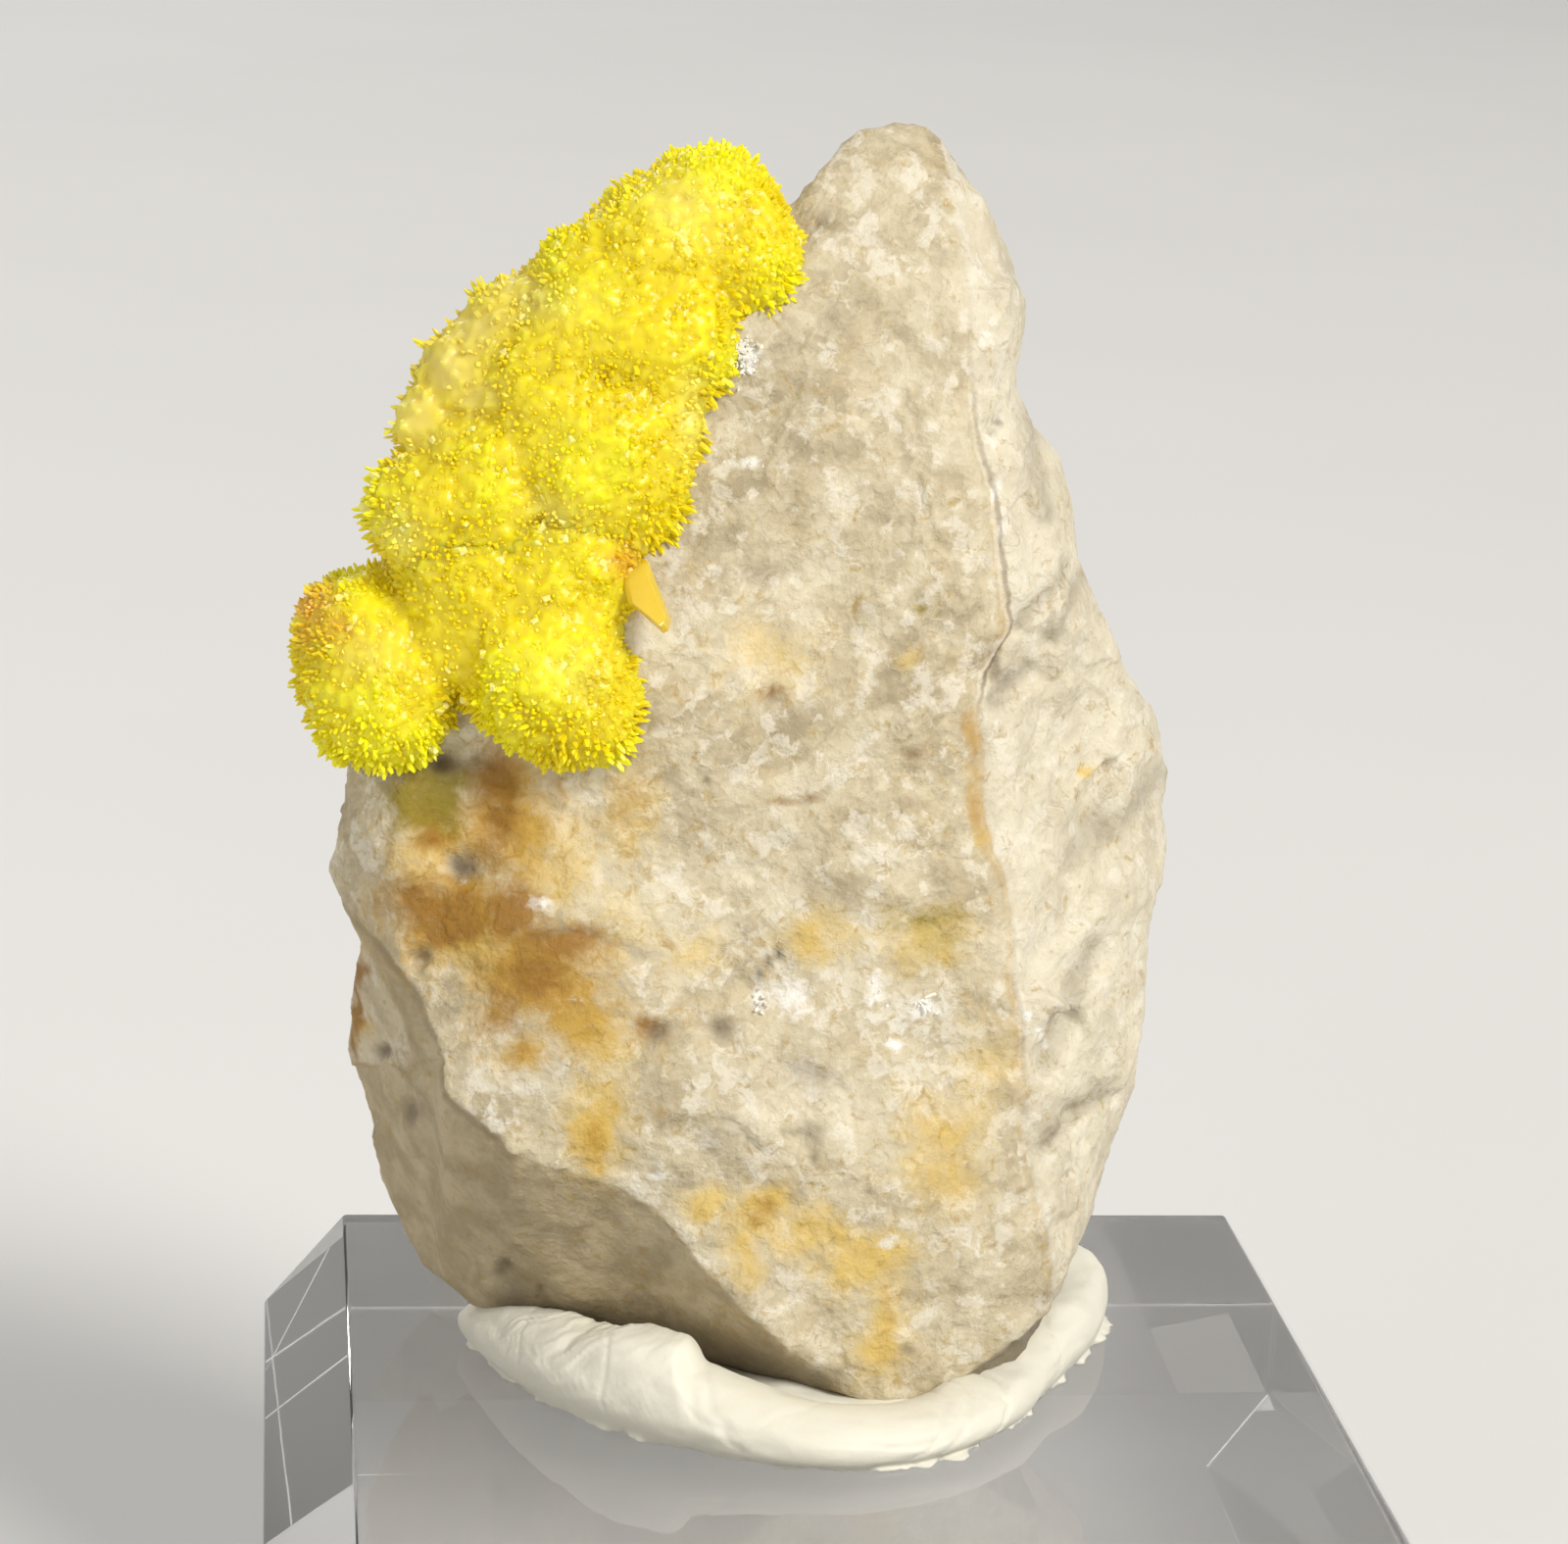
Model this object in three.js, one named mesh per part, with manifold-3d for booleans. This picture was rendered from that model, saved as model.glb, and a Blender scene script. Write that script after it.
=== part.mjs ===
// A creedite specimen on its display base, in millimetres, +Z up.
// The origin is the centre of the base's underside, and the specimen's show side faces -Y.
import * as THREE from "three";
import { mergeVertices } from "three/addons/utils/BufferGeometryUtils.js";
import Module from "manifold-3d";

const wasm = await Module();
wasm.setup();

// The display base: a square clear block whose top edges are cut back to wide bevels.
const BASE_SIDE = 31.75;
const BASE_HEIGHT = 12.7;
const BEVEL_WIDE = 2.35;
const BEVEL_HIGH = 3.7;

// Pieces that press on each other keep this gap, so that their solids never share space.
const FIT_GAP = 0.25;
// Edges shorter than this are no detail of the object.
const SLIVER = 0.01;
// Corners closer than this are one corner, and lines that turn less than this are parallel.
const SAME_CORNER = 1e-4;
const PARALLEL = 1e-9;

// The stone, the crust and the blade are drawn as an eye at SIGHT sees them. A drawn point [u, w] is
// where its line of sight crosses the upright plane y = DRAWN_AT: u to the right of the origin, and
// w above the base's top. A depth y then carries the point along that line.
const SIGHT = { x: -16.2, y: -121.3, z: 61.7 };
const DRAWN_AT = 1;

// The stone's outline, clockwise from its top, as seen from the show side.
const STONE_OUTLINE = [
  [0.1, 34.8], [0.9, 34.7], [1.5, 34.2], [2.7, 32.7], [3.2, 31.7], [3.7, 30.2], [3.7, 29.2],
  [3.6, 27.8], [4.0, 27.1], [4.9, 26.0], [5.4, 24.6], [5.6, 23.3], [6.4, 21.5], [7.1, 20.3],
  [7.9, 19.1], [8.4, 17.4], [8.3, 16.4], [8.5, 15.3], [8.3, 13.4], [8.0, 10.8], [8.0, 8.4],
  [7.4, 6.6], [7.0, 4.8], [6.5, 3.2], [6.0, 1.75], [5.3, 0.5], [4.1, -0.4], [2.6, -1.2], [1.5, -1.5],
  [0.4, -1.0], [-4.2, 0.3], [-8.1, 1.5], [-10.2, 1.9], [-11.6, 3.1], [-12.4, 4.7], [-13.1, 6.8],
  [-13.0, 7.1], [-13.7, 9.3], [-13.6, 11.2], [-13.4, 12.3], [-14.3, 14.3], [-13.9, 16.2],
  [-13.9, 19.4], [-13.3, 21.4], [-12.0, 24.0], [-11.7, 25.9], [-11.6, 27.0], [-10.8, 28.4],
  [-8.9, 29.4], [-6.6, 30.3], [-4.9, 31.0], [-3.3, 31.8], [-2.3, 32.6], [-1.5, 33.8], [-0.8, 34.5],
];
// Every straight line from here to the outline stays inside it.
const STONE_MIDDLE = [-3.0, 16.5];
// The lowest point of the stone, above the base's top: the putty lies between them.
const STONE_CLEAR = 0.3;
const STONE_CELLS = 28;
const RIM_CROWDING = 0.6;

// The show face leans back as it rises, bows back to both sides and rounds off at the top.
const FACE_FOOT = -3.7;
const FACE_LEAN = 0.115;
const FACE_BOW = 0.011;
const FACE_CREST = -2.5;
const SHOULDER_START = 28.5;
const SHOULDER_BOW = 0.055;
const FACE_SWELL = 0.28;
// How fast the swell of the face and of the back turns along u and along w, and where it starts.
const FACE_WAVES = { rise: [0.62, 0.23, 0.8], fall: [-0.17, 0.41, 0] };
const BACK_WAVES = { rise: [0.5, -0.31, 0], fall: [0.35, 0.27, 0.6] };

// The right ridge as [w, u], where the show face breaks back to the steep right flank.
const RIGHT_RIDGE = [
  [-2, 6.6], [1.8, 6.0], [4, 5.75], [6, 5.1], [8, 4.9], [10, 4.75], [11.2, 4.45], [13, 4.3],
  [14, 4.2], [15, 3.75], [16, 3.45], [17, 3.3], [18, 3.25], [19.1, 3.0], [20, 3.15], [20.7, 3.45],
  [21.3, 3.75], [22, 3.7], [23, 3.55], [24, 3.4], [25, 3.2], [26, 2.85], [27, 2.6], [28.6, 2.3],
  [30.4, 2.3], [32.6, 1.7], [35, 1.2],
];
const RIGHT_SLOPE = 0.8;
const RIGHT_STEP = 0.12;
const STEP_WIDE = 0.3;
// The groove along the right ridge as [w, deep]. Its deepest stretch is the undercut notch.
const RIGHT_GROOVE = [
  [0, 0.05], [5, 0.12], [12, 0.12], [15, 0.2], [19, 0.28], [19.7, 0.6], [20.6, 0.6], [21.3, 0.3],
  [24, 0.22], [27, 0.15], [33, 0.03],
];
const GROOVE_WIDE = 0.28;

// The lower ridge as [u, w], where the show face breaks back to the shaded lower left flank.
const LOWER_RIDGE = [
  [-16, 16.0], [-13.4, 12.9], [-12.9, 12.4], [-12.0, 11.0], [-11.3, 9.7], [-11.05, 8.2], [-10.0, 7.1],
  [-9.1, 6.3], [-8.0, 5.9], [-6.4, 5.4], [-5.3, 4.7], [-4.4, 3.7], [-3.5, 2.7], [-2.3, 1.5],
  [-1.6, 0.9], [-0.1, -0.4], [0.9, -1.1], [4, -3.4], [9, -6],
];
const LOWER_SLOPE = 0.85;

// The small left facet, and the facet that cuts the right end of the foot.
const LEFT_EDGE = -12.5;
const LEFT_SLOPE = 0.95;
const FOOT_EDGE = { u: 5.6, w: 1.4, rise: 0.85, slope: 0.9 };

// Shallow hollows in the show face, and rises where deep is negative: [u, w, reach, deep].
const FACE_HOLLOWS = [
  [-2.2, 11.0, 1.5, 0.25], [-1.0, 7.5, 1.6, 0.22], [-9.9, 15.5, 2.2, 0.3], [-3.8, 26.0, 1.7, 0.25],
  [-5.8, 7.4, 1.7, -0.22], [0.9, 20.5, 2.4, -0.2], [1.2, 4.0, 1.6, -0.15],
];
// Furrows between the right flank's own facets: [u, w] to [u, w], reach, deep.
const FURROWS = [
  { from: [8.4, 17.4], to: [5.9, 15.0], reach: 0.62, deep: 0.4 },
  { from: [7.2, 8.1], to: [6.1, 7.5], reach: 0.35, deep: 0.55 },
  { from: [6.1, 7.5], to: [5.4, 6.5], reach: 0.35, deep: 0.4 },
  { from: [5.2, 23.0], to: [4.0, 21.4], reach: 0.35, deep: 0.4 },
  { from: [5.7, 22.8], to: [4.9, 21.1], reach: 0.35, deep: 0.3 },
  { from: [6.6, 12.4], to: [5.6, 9.0], reach: 0.4, deep: 0.3 },
  { from: [3.9, 28.0], to: [4.7, 24.4], reach: 0.35, deep: 0.3 },
  { from: [4.4, 20.2], to: [3.5, 19.2], reach: 0.35, deep: 0.25 },
];

// The unseen back: broken facets, each y = at + du * u + dw * w.
const BACK_FACETS = [
  { at: 6.4, du: 0.1, dw: 0.13 },
  { at: 12.9, du: 0.12, dw: -0.2 },
  { at: 13.4, du: -0.6, dw: 0.05 },
  { at: 12.6, du: 0.55, dw: 0.02 },
  { at: 1.9, du: -0.25, dw: 0.95 },
];
const BACK_SWELL = 0.45;
const EDGE_SOFT = 0.1;

// The rim lies between the two faces, and each face rounds off towards it.
const RIM_SHARE = 0.18;
const FRONT_ROUNDING = 18;
const BACK_ROUNDING = 5;

// The crust's lumps: [u, w, how far the centre lies behind the stone's face, radius].
const LUMPS = [
  [-4.6, 32.2, 0.7, 1.7], [-3.6, 31.05, 0.65, 1.38], [-5.9, 31.1, 0.8, 1.8], [-7.2, 29.5, 1.1, 2.3],
  [-5.6, 28.9, 0.6, 1.7], [-6.2, 26.7, 0.4, 1.4], [-9.8, 28.9, 1.1, 1.3], [-10.8, 27.9, 0.9, 1.15],
  [-12.0, 26.7, 0.7, 0.75], [-8.6, 27.6, 0.8, 2.1], [-7.5, 25.9, 0.5, 2.35], [-10.2, 24.9, 0.6, 1.9],
  [-11.9, 24.2, 0.5, 1.4], [-8.1, 22.7, 0.5, 1.8], [-10.6, 22.4, 0.4, 1.6], [-11.0, 20.9, 0.4, 1.3],
  [-13.3, 20.6, 0.3, 1.9], [-13.0, 19.1, -0.1, 1.8], [-8.5, 19.9, 0.2, 2.1], [-7.6, 18.8, 0.1, 1.3],
  [-6.4, 24.6, 0.5, 1.25],
];
const LUMP_DETAIL = 2;
// How sharply the lumps grow into each other: the higher, the deeper the creases between them.
const LUMP_CREASE = 2.3;
// The needles that the lumps bristle with.
const NEEDLE_LENGTH = 0.55;
const NEEDLE_ROOT = 0.3;
const NEEDLE_RADIUS = 0.24;
const NEEDLE_SPACING = 1.12;
const NEEDLE_SIDES = 4;
const GOLDEN_TURN = Math.PI * (3 - Math.sqrt(5));
// Needles that point further back than this would be buried in the stone.
const NEEDLE_BACKMOST = 0.75;

// The amber blade's outline as [u, w], its thickness, and how far it stands off the stone's face.
const BLADE_OUTLINE = [
  [-6.0, 23.0], [-5.3, 21.35], [-5.35, 21.05], [-5.5, 20.95], [-6.0, 21.4], [-6.5, 21.8], [-6.7, 22.6],
];
const BLADE_THICK = 0.35;
const BLADE_LIFT = 0.35;
const BLADE_TILT = 0.35;

// The putty roll, from its blunt left end round the front to its right end: [x, y, half width, height].
const PUTTY_ROUTE = [
  [-9.6, 3.7, 1.0, 1.3], [-8.7, 1.3, 1.3, 1.6], [-7.3, -1.4, 1.45, 2.3], [-5.5, -3.2, 1.5, 2.5],
  [-3.1, -4.8, 1.4, 1.6], [-0.8, -5.5, 1.35, 1.25], [1.5, -4.9, 1.3, 1.15], [3.4, -3.2, 1.2, 1.25],
  [5.15, -0.55, 0.95, 1.5], [6.85, 2.5, 0.85, 1.7], [7.55, 5.4, 0.8, 1.6], [7.15, 7.6, 0.75, 1.3],
  [5.6, 9.0, 0.7, 1.0],
];
const PUTTY_STEPS = 30;
const PUTTY_SIDES = 10;
const PUTTY_FLAT = 0.12;
// The roll's blunt ends: the share of its girth left at the very end, and how fast it fills out.
const PUTTY_BLUNT = 0.35;
const PUTTY_FILLING = 5;
const PAD = { x: -0.9, y: 2.35, halfWide: 7.7, halfDeep: 6.35, height: 0.95, taper: 0.86, sides: 30 };

function mix(a, b, share) {
  return a + (b - a) * share;
}

// A corner between two facets, rounded over about EDGE_SOFT: the further back of the two.
function backmost(a, b) {
  return b + EDGE_SOFT * Math.log1p(Math.exp((a - b) / EDGE_SOFT));
}

// How far v is past the start of a slope, with the same rounded corner.
function past(v) {
  return EDGE_SOFT * Math.log1p(Math.exp(v / EDGE_SOFT));
}

function bump(distance, reach) {
  return Math.exp(-((distance / reach) ** 2));
}

// The distance from a drawn point to the straight line between two others.
function lineDistance(u, w, [fu, fw], [tu, tw]) {
  const [du, dw] = [tu - fu, tw - fw];
  const share = THREE.MathUtils.clamp(((u - fu) * du + (w - fw) * dw) / (du ** 2 + dw ** 2), 0, 1);
  return Math.hypot(u - fu - share * du, w - fw - share * dw);
}

// Reads a ridge drawn as [place, value] pairs at a place between its points.
function along(ridge, place) {
  let i = 1;
  while (i < ridge.length - 1 && ridge[i][0] < place) i += 1;
  const [a, va] = ridge[i - 1];
  const [b, vb] = ridge[i];
  return mix(va, vb, THREE.MathUtils.clamp((place - a) / (b - a), 0, 1));
}

// Two crossing trains of waves over the drawn points.
function waves({ rise, fall }, u, w) {
  return Math.sin(rise[0] * u + rise[1] * w + rise[2]) * Math.cos(fall[0] * u + fall[1] * w + fall[2]);
}

// The depth of the stone's show side at a drawn point.
function frontDepth(u, w) {
  const swell = FACE_SWELL * waves(FACE_WAVES, u, w);
  let y = FACE_FOOT + FACE_LEAN * w + FACE_BOW * (u - FACE_CREST) ** 2 + swell;
  y += SHOULDER_BOW * Math.max(0, w - SHOULDER_START) ** 2;

  const rightOf = u - along(RIGHT_RIDGE, w);
  y += RIGHT_STEP * THREE.MathUtils.smoothstep(rightOf, 0, STEP_WIDE);
  y += along(RIGHT_GROOVE, w) * bump(rightOf, GROOVE_WIDE);
  y += RIGHT_SLOPE * past(rightOf - STEP_WIDE / 2);

  y += LOWER_SLOPE * past(along(LOWER_RIDGE, u) - w);
  y += LEFT_SLOPE * past(LEFT_EDGE - u);
  y += FOOT_EDGE.slope * past(FOOT_EDGE.w + FOOT_EDGE.rise * (u - FOOT_EDGE.u) - w);

  FACE_HOLLOWS.forEach(([hu, hw, reach, deep]) => {
    y += deep * bump(Math.hypot(u - hu, w - hw), reach);
  });
  FURROWS.forEach((f) => {
    y += f.deep * bump(lineDistance(u, w, f.from, f.to), f.reach);
  });
  return y;
}

// The depth of the stone's back at a drawn point: the nearest of its facets.
function backDepth(u, w) {
  const swell = BACK_SWELL * waves(BACK_WAVES, u, w);
  const facets = BACK_FACETS.map((f) => f.at + f.du * u + f.dw * w);
  return facets.reduce((near, y) => -backmost(-near, -y)) + swell;
}

// Carries a drawn point along its line of sight to the depth y.
function place(u, w, y) {
  const reach = (y - SIGHT.y) / (DRAWN_AT - SIGHT.y);
  return new THREE.Vector3(
    SIGHT.x + (u - SIGHT.x) * reach,
    y,
    SIGHT.z + (BASE_HEIGHT + w - SIGHT.z) * reach,
  );
}

// How far the outline is from the stone's middle in a direction.
function outlineReach(du, dw) {
  const [mu, mw] = STONE_MIDDLE;
  let reach = 0;
  STONE_OUTLINE.forEach(([u, w], i) => {
    const [nu, nw] = STONE_OUTLINE[(i + 1) % STONE_OUTLINE.length];
    const [eu, ew] = [nu - u, nw - w];
    const turn = du * ew - dw * eu;
    if (Math.abs(turn) < PARALLEL) return;
    const distance = ((u - mu) * ew - (w - mw) * eu) / turn;
    const share = ((u - mu) * dw - (w - mw) * du) / turn;
    if (distance > 0 && share >= 0 && share <= 1) reach = Math.max(reach, distance);
  });
  return reach;
}

// The stone as one closed surface: a square grid of cells pulled to the outline's shape, once for the
// show side and once for the back, with the rim shared. grow moves its whole surface outwards.
function stoneGeometry(grow) {
  const n = STONE_CELLS;
  const index = new Map();
  const positions = [];
  const lowest = BASE_HEIGHT + STONE_CLEAR - grow;
  const gridPlace = (i) => {
    const t = (2 * i) / n - 1;
    return mix(t, Math.sin((Math.PI / 2) * t), RIM_CROWDING);
  };
  const vertex = (side, i, j) => {
    const onRim = i === 0 || j === 0 || i === n || j === n;
    const key = (onRim ? "rim" : side) + i + "," + j;
    if (index.has(key)) return index.get(key);
    const [a, b] = [gridPlace(i), gridPlace(j)];
    const across = a * Math.sqrt(1 - b ** 2 / 2);
    const up = b * Math.sqrt(1 - a ** 2 / 2);
    const radius = Math.min(1, Math.hypot(across, up));
    const reach = radius > 0 ? outlineReach(across / radius, up / radius) + grow : 0;
    const u = STONE_MIDDLE[0] + across * reach;
    const w = STONE_MIDDLE[1] + up * reach;
    const front = frontDepth(u, w) - grow;
    const back = backDepth(u, w) + grow;
    const rim = mix(front, back, RIM_SHARE);
    const rounding = side === "front" ? FRONT_ROUNDING : BACK_ROUNDING;
    const full = onRim ? 0 : Math.sqrt(1 - radius ** rounding);
    const p = place(u, w, mix(rim, side === "front" ? front : back, full));
    p.z = Math.max(p.z, lowest);
    index.set(key, positions.length / 3);
    positions.push(p.x, p.y, p.z);
    return index.get(key);
  };
  const faces = [];
  for (const side of ["front", "back"]) {
    for (let i = 0; i < n; i += 1) {
      for (let j = 0; j < n; j += 1) {
        const [p, q] = [vertex(side, i, j), vertex(side, i + 1, j)];
        const [r, s] = [vertex(side, i + 1, j + 1), vertex(side, i, j + 1)];
        const leansRight = (i < n / 2) === (j < n / 2);
        const pair = leansRight ? [p, q, r, p, r, s] : [p, q, s, q, r, s];
        faces.push(...(side === "front" ? pair : pair.reverse()));
      }
    }
  }
  return indexed(positions, faces);
}

function indexed(positions, faces) {
  const geometry = new THREE.BufferGeometry();
  geometry.setAttribute("position", new THREE.Float32BufferAttribute(positions, 3));
  geometry.setIndex(faces);
  return geometry;
}

// A geometry as a solid that can be joined and cut.
function solid(geometry) {
  const bare = geometry.clone();
  bare.deleteAttribute("normal");
  bare.deleteAttribute("uv");
  const merged = mergeVertices(bare, SAME_CORNER);
  return new wasm.Manifold(
    new wasm.Mesh({
      numProp: 3,
      vertProperties: new Float32Array(merged.attributes.position.array),
      triVerts: new Uint32Array(merged.index.array),
    }),
  );
}

// The largest body of a solid, as a geometry. Cutting can leave slivers, which are smoothed away, and
// loose chips, which are dropped.
function largestBody(made) {
  const bodies = made.simplify(SLIVER).decompose();
  bodies.sort((a, b) => b.volume() - a.volume());
  const { numProp, vertProperties, triVerts } = bodies[0].getMesh();
  const positions = [];
  for (let i = 0; i < vertProperties.length; i += numProp) {
    positions.push(vertProperties[i], vertProperties[i + 1], vertProperties[i + 2]);
  }
  return indexed(positions, [...triVerts]);
}

// A closed skin over rings of points, with a fan over each end ring's centre.
function skin(rings) {
  const sides = rings[0].length;
  const positions = rings.flat().flatMap((p) => p.toArray());
  const faces = [];
  for (let r = 0; r < rings.length - 1; r += 1) {
    for (let s = 0; s < sides; s += 1) {
      const t = (s + 1) % sides;
      const [a, b, c, d] = [r * sides + s, r * sides + t, (r + 1) * sides + t, (r + 1) * sides + s];
      faces.push(a, b, c, a, c, d);
    }
  }
  [0, rings.length - 1].forEach((r) => {
    const centre = rings[r].reduce((sum, p) => sum.add(p), new THREE.Vector3()).divideScalar(sides);
    const hub = positions.length / 3;
    positions.push(...centre.toArray());
    for (let s = 0; s < sides; s += 1) {
      const t = (s + 1) % sides;
      faces.push(...(r === 0 ? [hub, r * sides + t, r * sides + s] : [hub, r * sides + s, r * sides + t]));
    }
  });
  return indexed(positions, faces);
}

function acrylicBase() {
  const half = BASE_SIDE / 2;
  const inner = half - BEVEL_WIDE;
  const square = (reach, z) => [
    new THREE.Vector3(-reach, -reach, z),
    new THREE.Vector3(reach, -reach, z),
    new THREE.Vector3(reach, reach, z),
    new THREE.Vector3(-reach, reach, z),
  ];
  return skin([square(half, 0), square(half, BASE_HEIGHT - BEVEL_HIGH), square(inner, BASE_HEIGHT)]);
}

// How far the crust stands outside a point on one ball's surface, where the other balls swell it:
// the smooth union of all the balls.
function swellAt(point, ball, balls) {
  const pull = (other) => Math.exp(-LUMP_CREASE * (other.centre.distanceTo(point) - other.radius));
  const others = balls.filter((other) => other !== ball);
  return Math.log1p(others.reduce((sum, other) => sum + pull(other), 0)) / LUMP_CREASE;
}

// Every lump's centre in space, with its radius.
function lumpBalls() {
  return LUMPS.map(([u, w, sunk, radius]) => ({
    centre: place(u, w, frontDepth(u, w) + sunk),
    radius,
  }));
}

// A needle of flat faces that stands on a lump and narrows to a point.
function needle(foot, direction) {
  const height = NEEDLE_ROOT + NEEDLE_LENGTH;
  const cone = new THREE.ConeGeometry(NEEDLE_RADIUS, height, NEEDLE_SIDES);
  cone.translate(0, height / 2 - NEEDLE_ROOT, 0);
  cone.applyQuaternion(new THREE.Quaternion().setFromUnitVectors(new THREE.Vector3(0, 1, 0), direction));
  cone.translate(foot.x, foot.y, foot.z);
  return solid(cone);
}

// Needles spread evenly over a ball, where no other ball and not the stone covers them.
function ballNeedles(ball, balls) {
  const count = Math.round((4 * Math.PI * ball.radius ** 2) / NEEDLE_SPACING ** 2);
  const made = [];
  for (let i = 0; i < count; i += 1) {
    const z = 1 - (2 * i + 1) / count;
    const turn = i * GOLDEN_TURN;
    const flat = Math.sqrt(1 - z * z);
    const direction = new THREE.Vector3(flat * Math.cos(turn), flat * Math.sin(turn), z);
    const onBall = ball.centre.clone().addScaledVector(direction, ball.radius);
    const covered = balls.some((other) => other !== ball && other.centre.distanceTo(onBall) < other.radius);
    const foot = onBall.clone().addScaledVector(direction, swellAt(onBall, ball, balls));
    if (!covered && direction.y < NEEDLE_BACKMOST) made.push(needle(foot, direction));
  }
  return made;
}

// One lump: a ball whose points are pushed out to the smooth union.
function lumpGeometry(ball, balls) {
  const lump = new THREE.IcosahedronGeometry(1, LUMP_DETAIL);
  const spots = lump.attributes.position;
  for (let i = 0; i < spots.count; i += 1) {
    const direction = new THREE.Vector3().fromBufferAttribute(spots, i).normalize();
    const onBall = ball.centre.clone().addScaledVector(direction, ball.radius);
    const spot = onBall.clone().addScaledVector(direction, swellAt(onBall, ball, balls));
    spots.setXYZ(i, spot.x, spot.y, spot.z);
  }
  return lump;
}

// The amber blade: its outline given a thickness, tilted so that the tip stands further off the stone.
function bladeGeometry(grow) {
  const middle = [0, 1].map((k) => BLADE_OUTLINE.reduce((sum, p) => sum + p[k], 0) / BLADE_OUTLINE.length);
  const ring = (thickness) =>
    BLADE_OUTLINE.map(([u, w]) => {
      const out = new THREE.Vector2(u - middle[0], w - middle[1]);
      out.setLength(out.length() + grow);
      const lift = BLADE_LIFT + BLADE_TILT * (BLADE_OUTLINE[0][1] - w);
      const y = frontDepth(u, w) - lift - thickness;
      return place(middle[0] + out.x, middle[1] + out.y, y);
    });
  return skin([ring(BLADE_THICK + grow), ring(-grow)]);
}

function creediteCrust() {
  const balls = lumpBalls();
  const parts = balls.flatMap((ball) => [solid(lumpGeometry(ball, balls)), ...ballNeedles(ball, balls)]);
  const grown = parts.reduce((whole, part) => whole.add(part));
  const cut = grown.subtract(solid(stoneGeometry(FIT_GAP))).subtract(solid(bladeGeometry(FIT_GAP)));
  return largestBody(cut);
}

// The putty: the roll along its route and the pad under the stone, cut clear of the stone.
function mineralTack() {
  const route = new THREE.CatmullRomCurve3(PUTTY_ROUTE.map(([x, y]) => new THREE.Vector3(x, y, 0)));
  const stations = PUTTY_ROUTE.length - 1;
  const rings = [];
  for (let i = 0; i <= PUTTY_STEPS; i += 1) {
    const t = i / PUTTY_STEPS;
    const at = route.getPoint(t);
    const ahead = route.getTangent(t);
    const k = Math.min(Math.floor(t * stations), stations - 1);
    const share = t * stations - k;
    const end = Math.sqrt(Math.min(1, PUTTY_BLUNT + PUTTY_FILLING * Math.min(t, 1 - t)));
    const half = end * mix(PUTTY_ROUTE[k][2], PUTTY_ROUTE[k + 1][2], share);
    const height = end * mix(PUTTY_ROUTE[k][3], PUTTY_ROUTE[k + 1][3], share);
    const ring = [];
    for (let s = 0; s < PUTTY_SIDES; s += 1) {
      const turn = (2 * Math.PI * (s + 0.5)) / PUTTY_SIDES;
      const side = half * Math.cos(turn);
      const lift = Math.max(0, (0.5 + 0.5 * Math.sin(turn) - PUTTY_FLAT) / (1 - PUTTY_FLAT));
      ring.push(new THREE.Vector3(at.x - ahead.y * side, at.y + ahead.x * side, BASE_HEIGHT + height * lift));
    }
    rings.push(ring);
  }
  const pad = new THREE.CylinderGeometry(PAD.taper, 1, 1, PAD.sides);
  pad.rotateX(Math.PI / 2);
  pad.scale(PAD.halfWide, PAD.halfDeep, PAD.height);
  pad.translate(PAD.x, PAD.y, BASE_HEIGHT + PAD.height / 2);
  const whole = solid(skin(rings)).add(solid(pad));
  return largestBody(whole.subtract(solid(stoneGeometry(FIT_GAP))));
}

function piece(name, geometry, look) {
  const mesh = new THREE.Mesh(geometry, new THREE.MeshStandardMaterial(look));
  mesh.name = name;
  return mesh;
}

const specimen = new THREE.Group();
specimen.add(
  piece("acrylic_base", acrylicBase(), { color: 0xf2f6f6, roughness: 0.04, transparent: true, opacity: 0.3 }),
  piece("mineral_tack", mineralTack(), { color: 0xe9e6de, roughness: 0.75 }),
  piece("matrix_rock", stoneGeometry(0), { color: 0xbdb29b, roughness: 0.85 }),
  piece("creedite_crust", creediteCrust(), { color: 0xf2df22, roughness: 0.35 }),
  piece("amber_blade", bladeGeometry(0), { color: 0xe8a91c, roughness: 0.3 }),
);

export default specimen;
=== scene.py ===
import bpy
import numpy as np
from bpy.props import FloatProperty, FloatVectorProperty, IntProperty, PointerProperty
from mathutils import Matrix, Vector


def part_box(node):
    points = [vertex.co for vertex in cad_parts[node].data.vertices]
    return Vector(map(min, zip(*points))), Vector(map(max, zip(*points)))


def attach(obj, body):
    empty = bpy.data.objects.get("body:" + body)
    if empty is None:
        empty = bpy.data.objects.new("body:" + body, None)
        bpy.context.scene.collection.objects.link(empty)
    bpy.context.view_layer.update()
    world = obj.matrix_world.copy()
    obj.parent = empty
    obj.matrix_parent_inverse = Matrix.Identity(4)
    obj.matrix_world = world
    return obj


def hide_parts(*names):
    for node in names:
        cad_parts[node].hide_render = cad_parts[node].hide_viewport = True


bl_info = {
    "name": "Creedite Specimen",
    "version": (1, 0, 0),
    "blender": (4, 5, 0),
    "location": "3D View > Sidebar > Specimen",
    "description": "Dresses a creedite specimen on its clear display base",
    "category": "Add Mesh",
}

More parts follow.
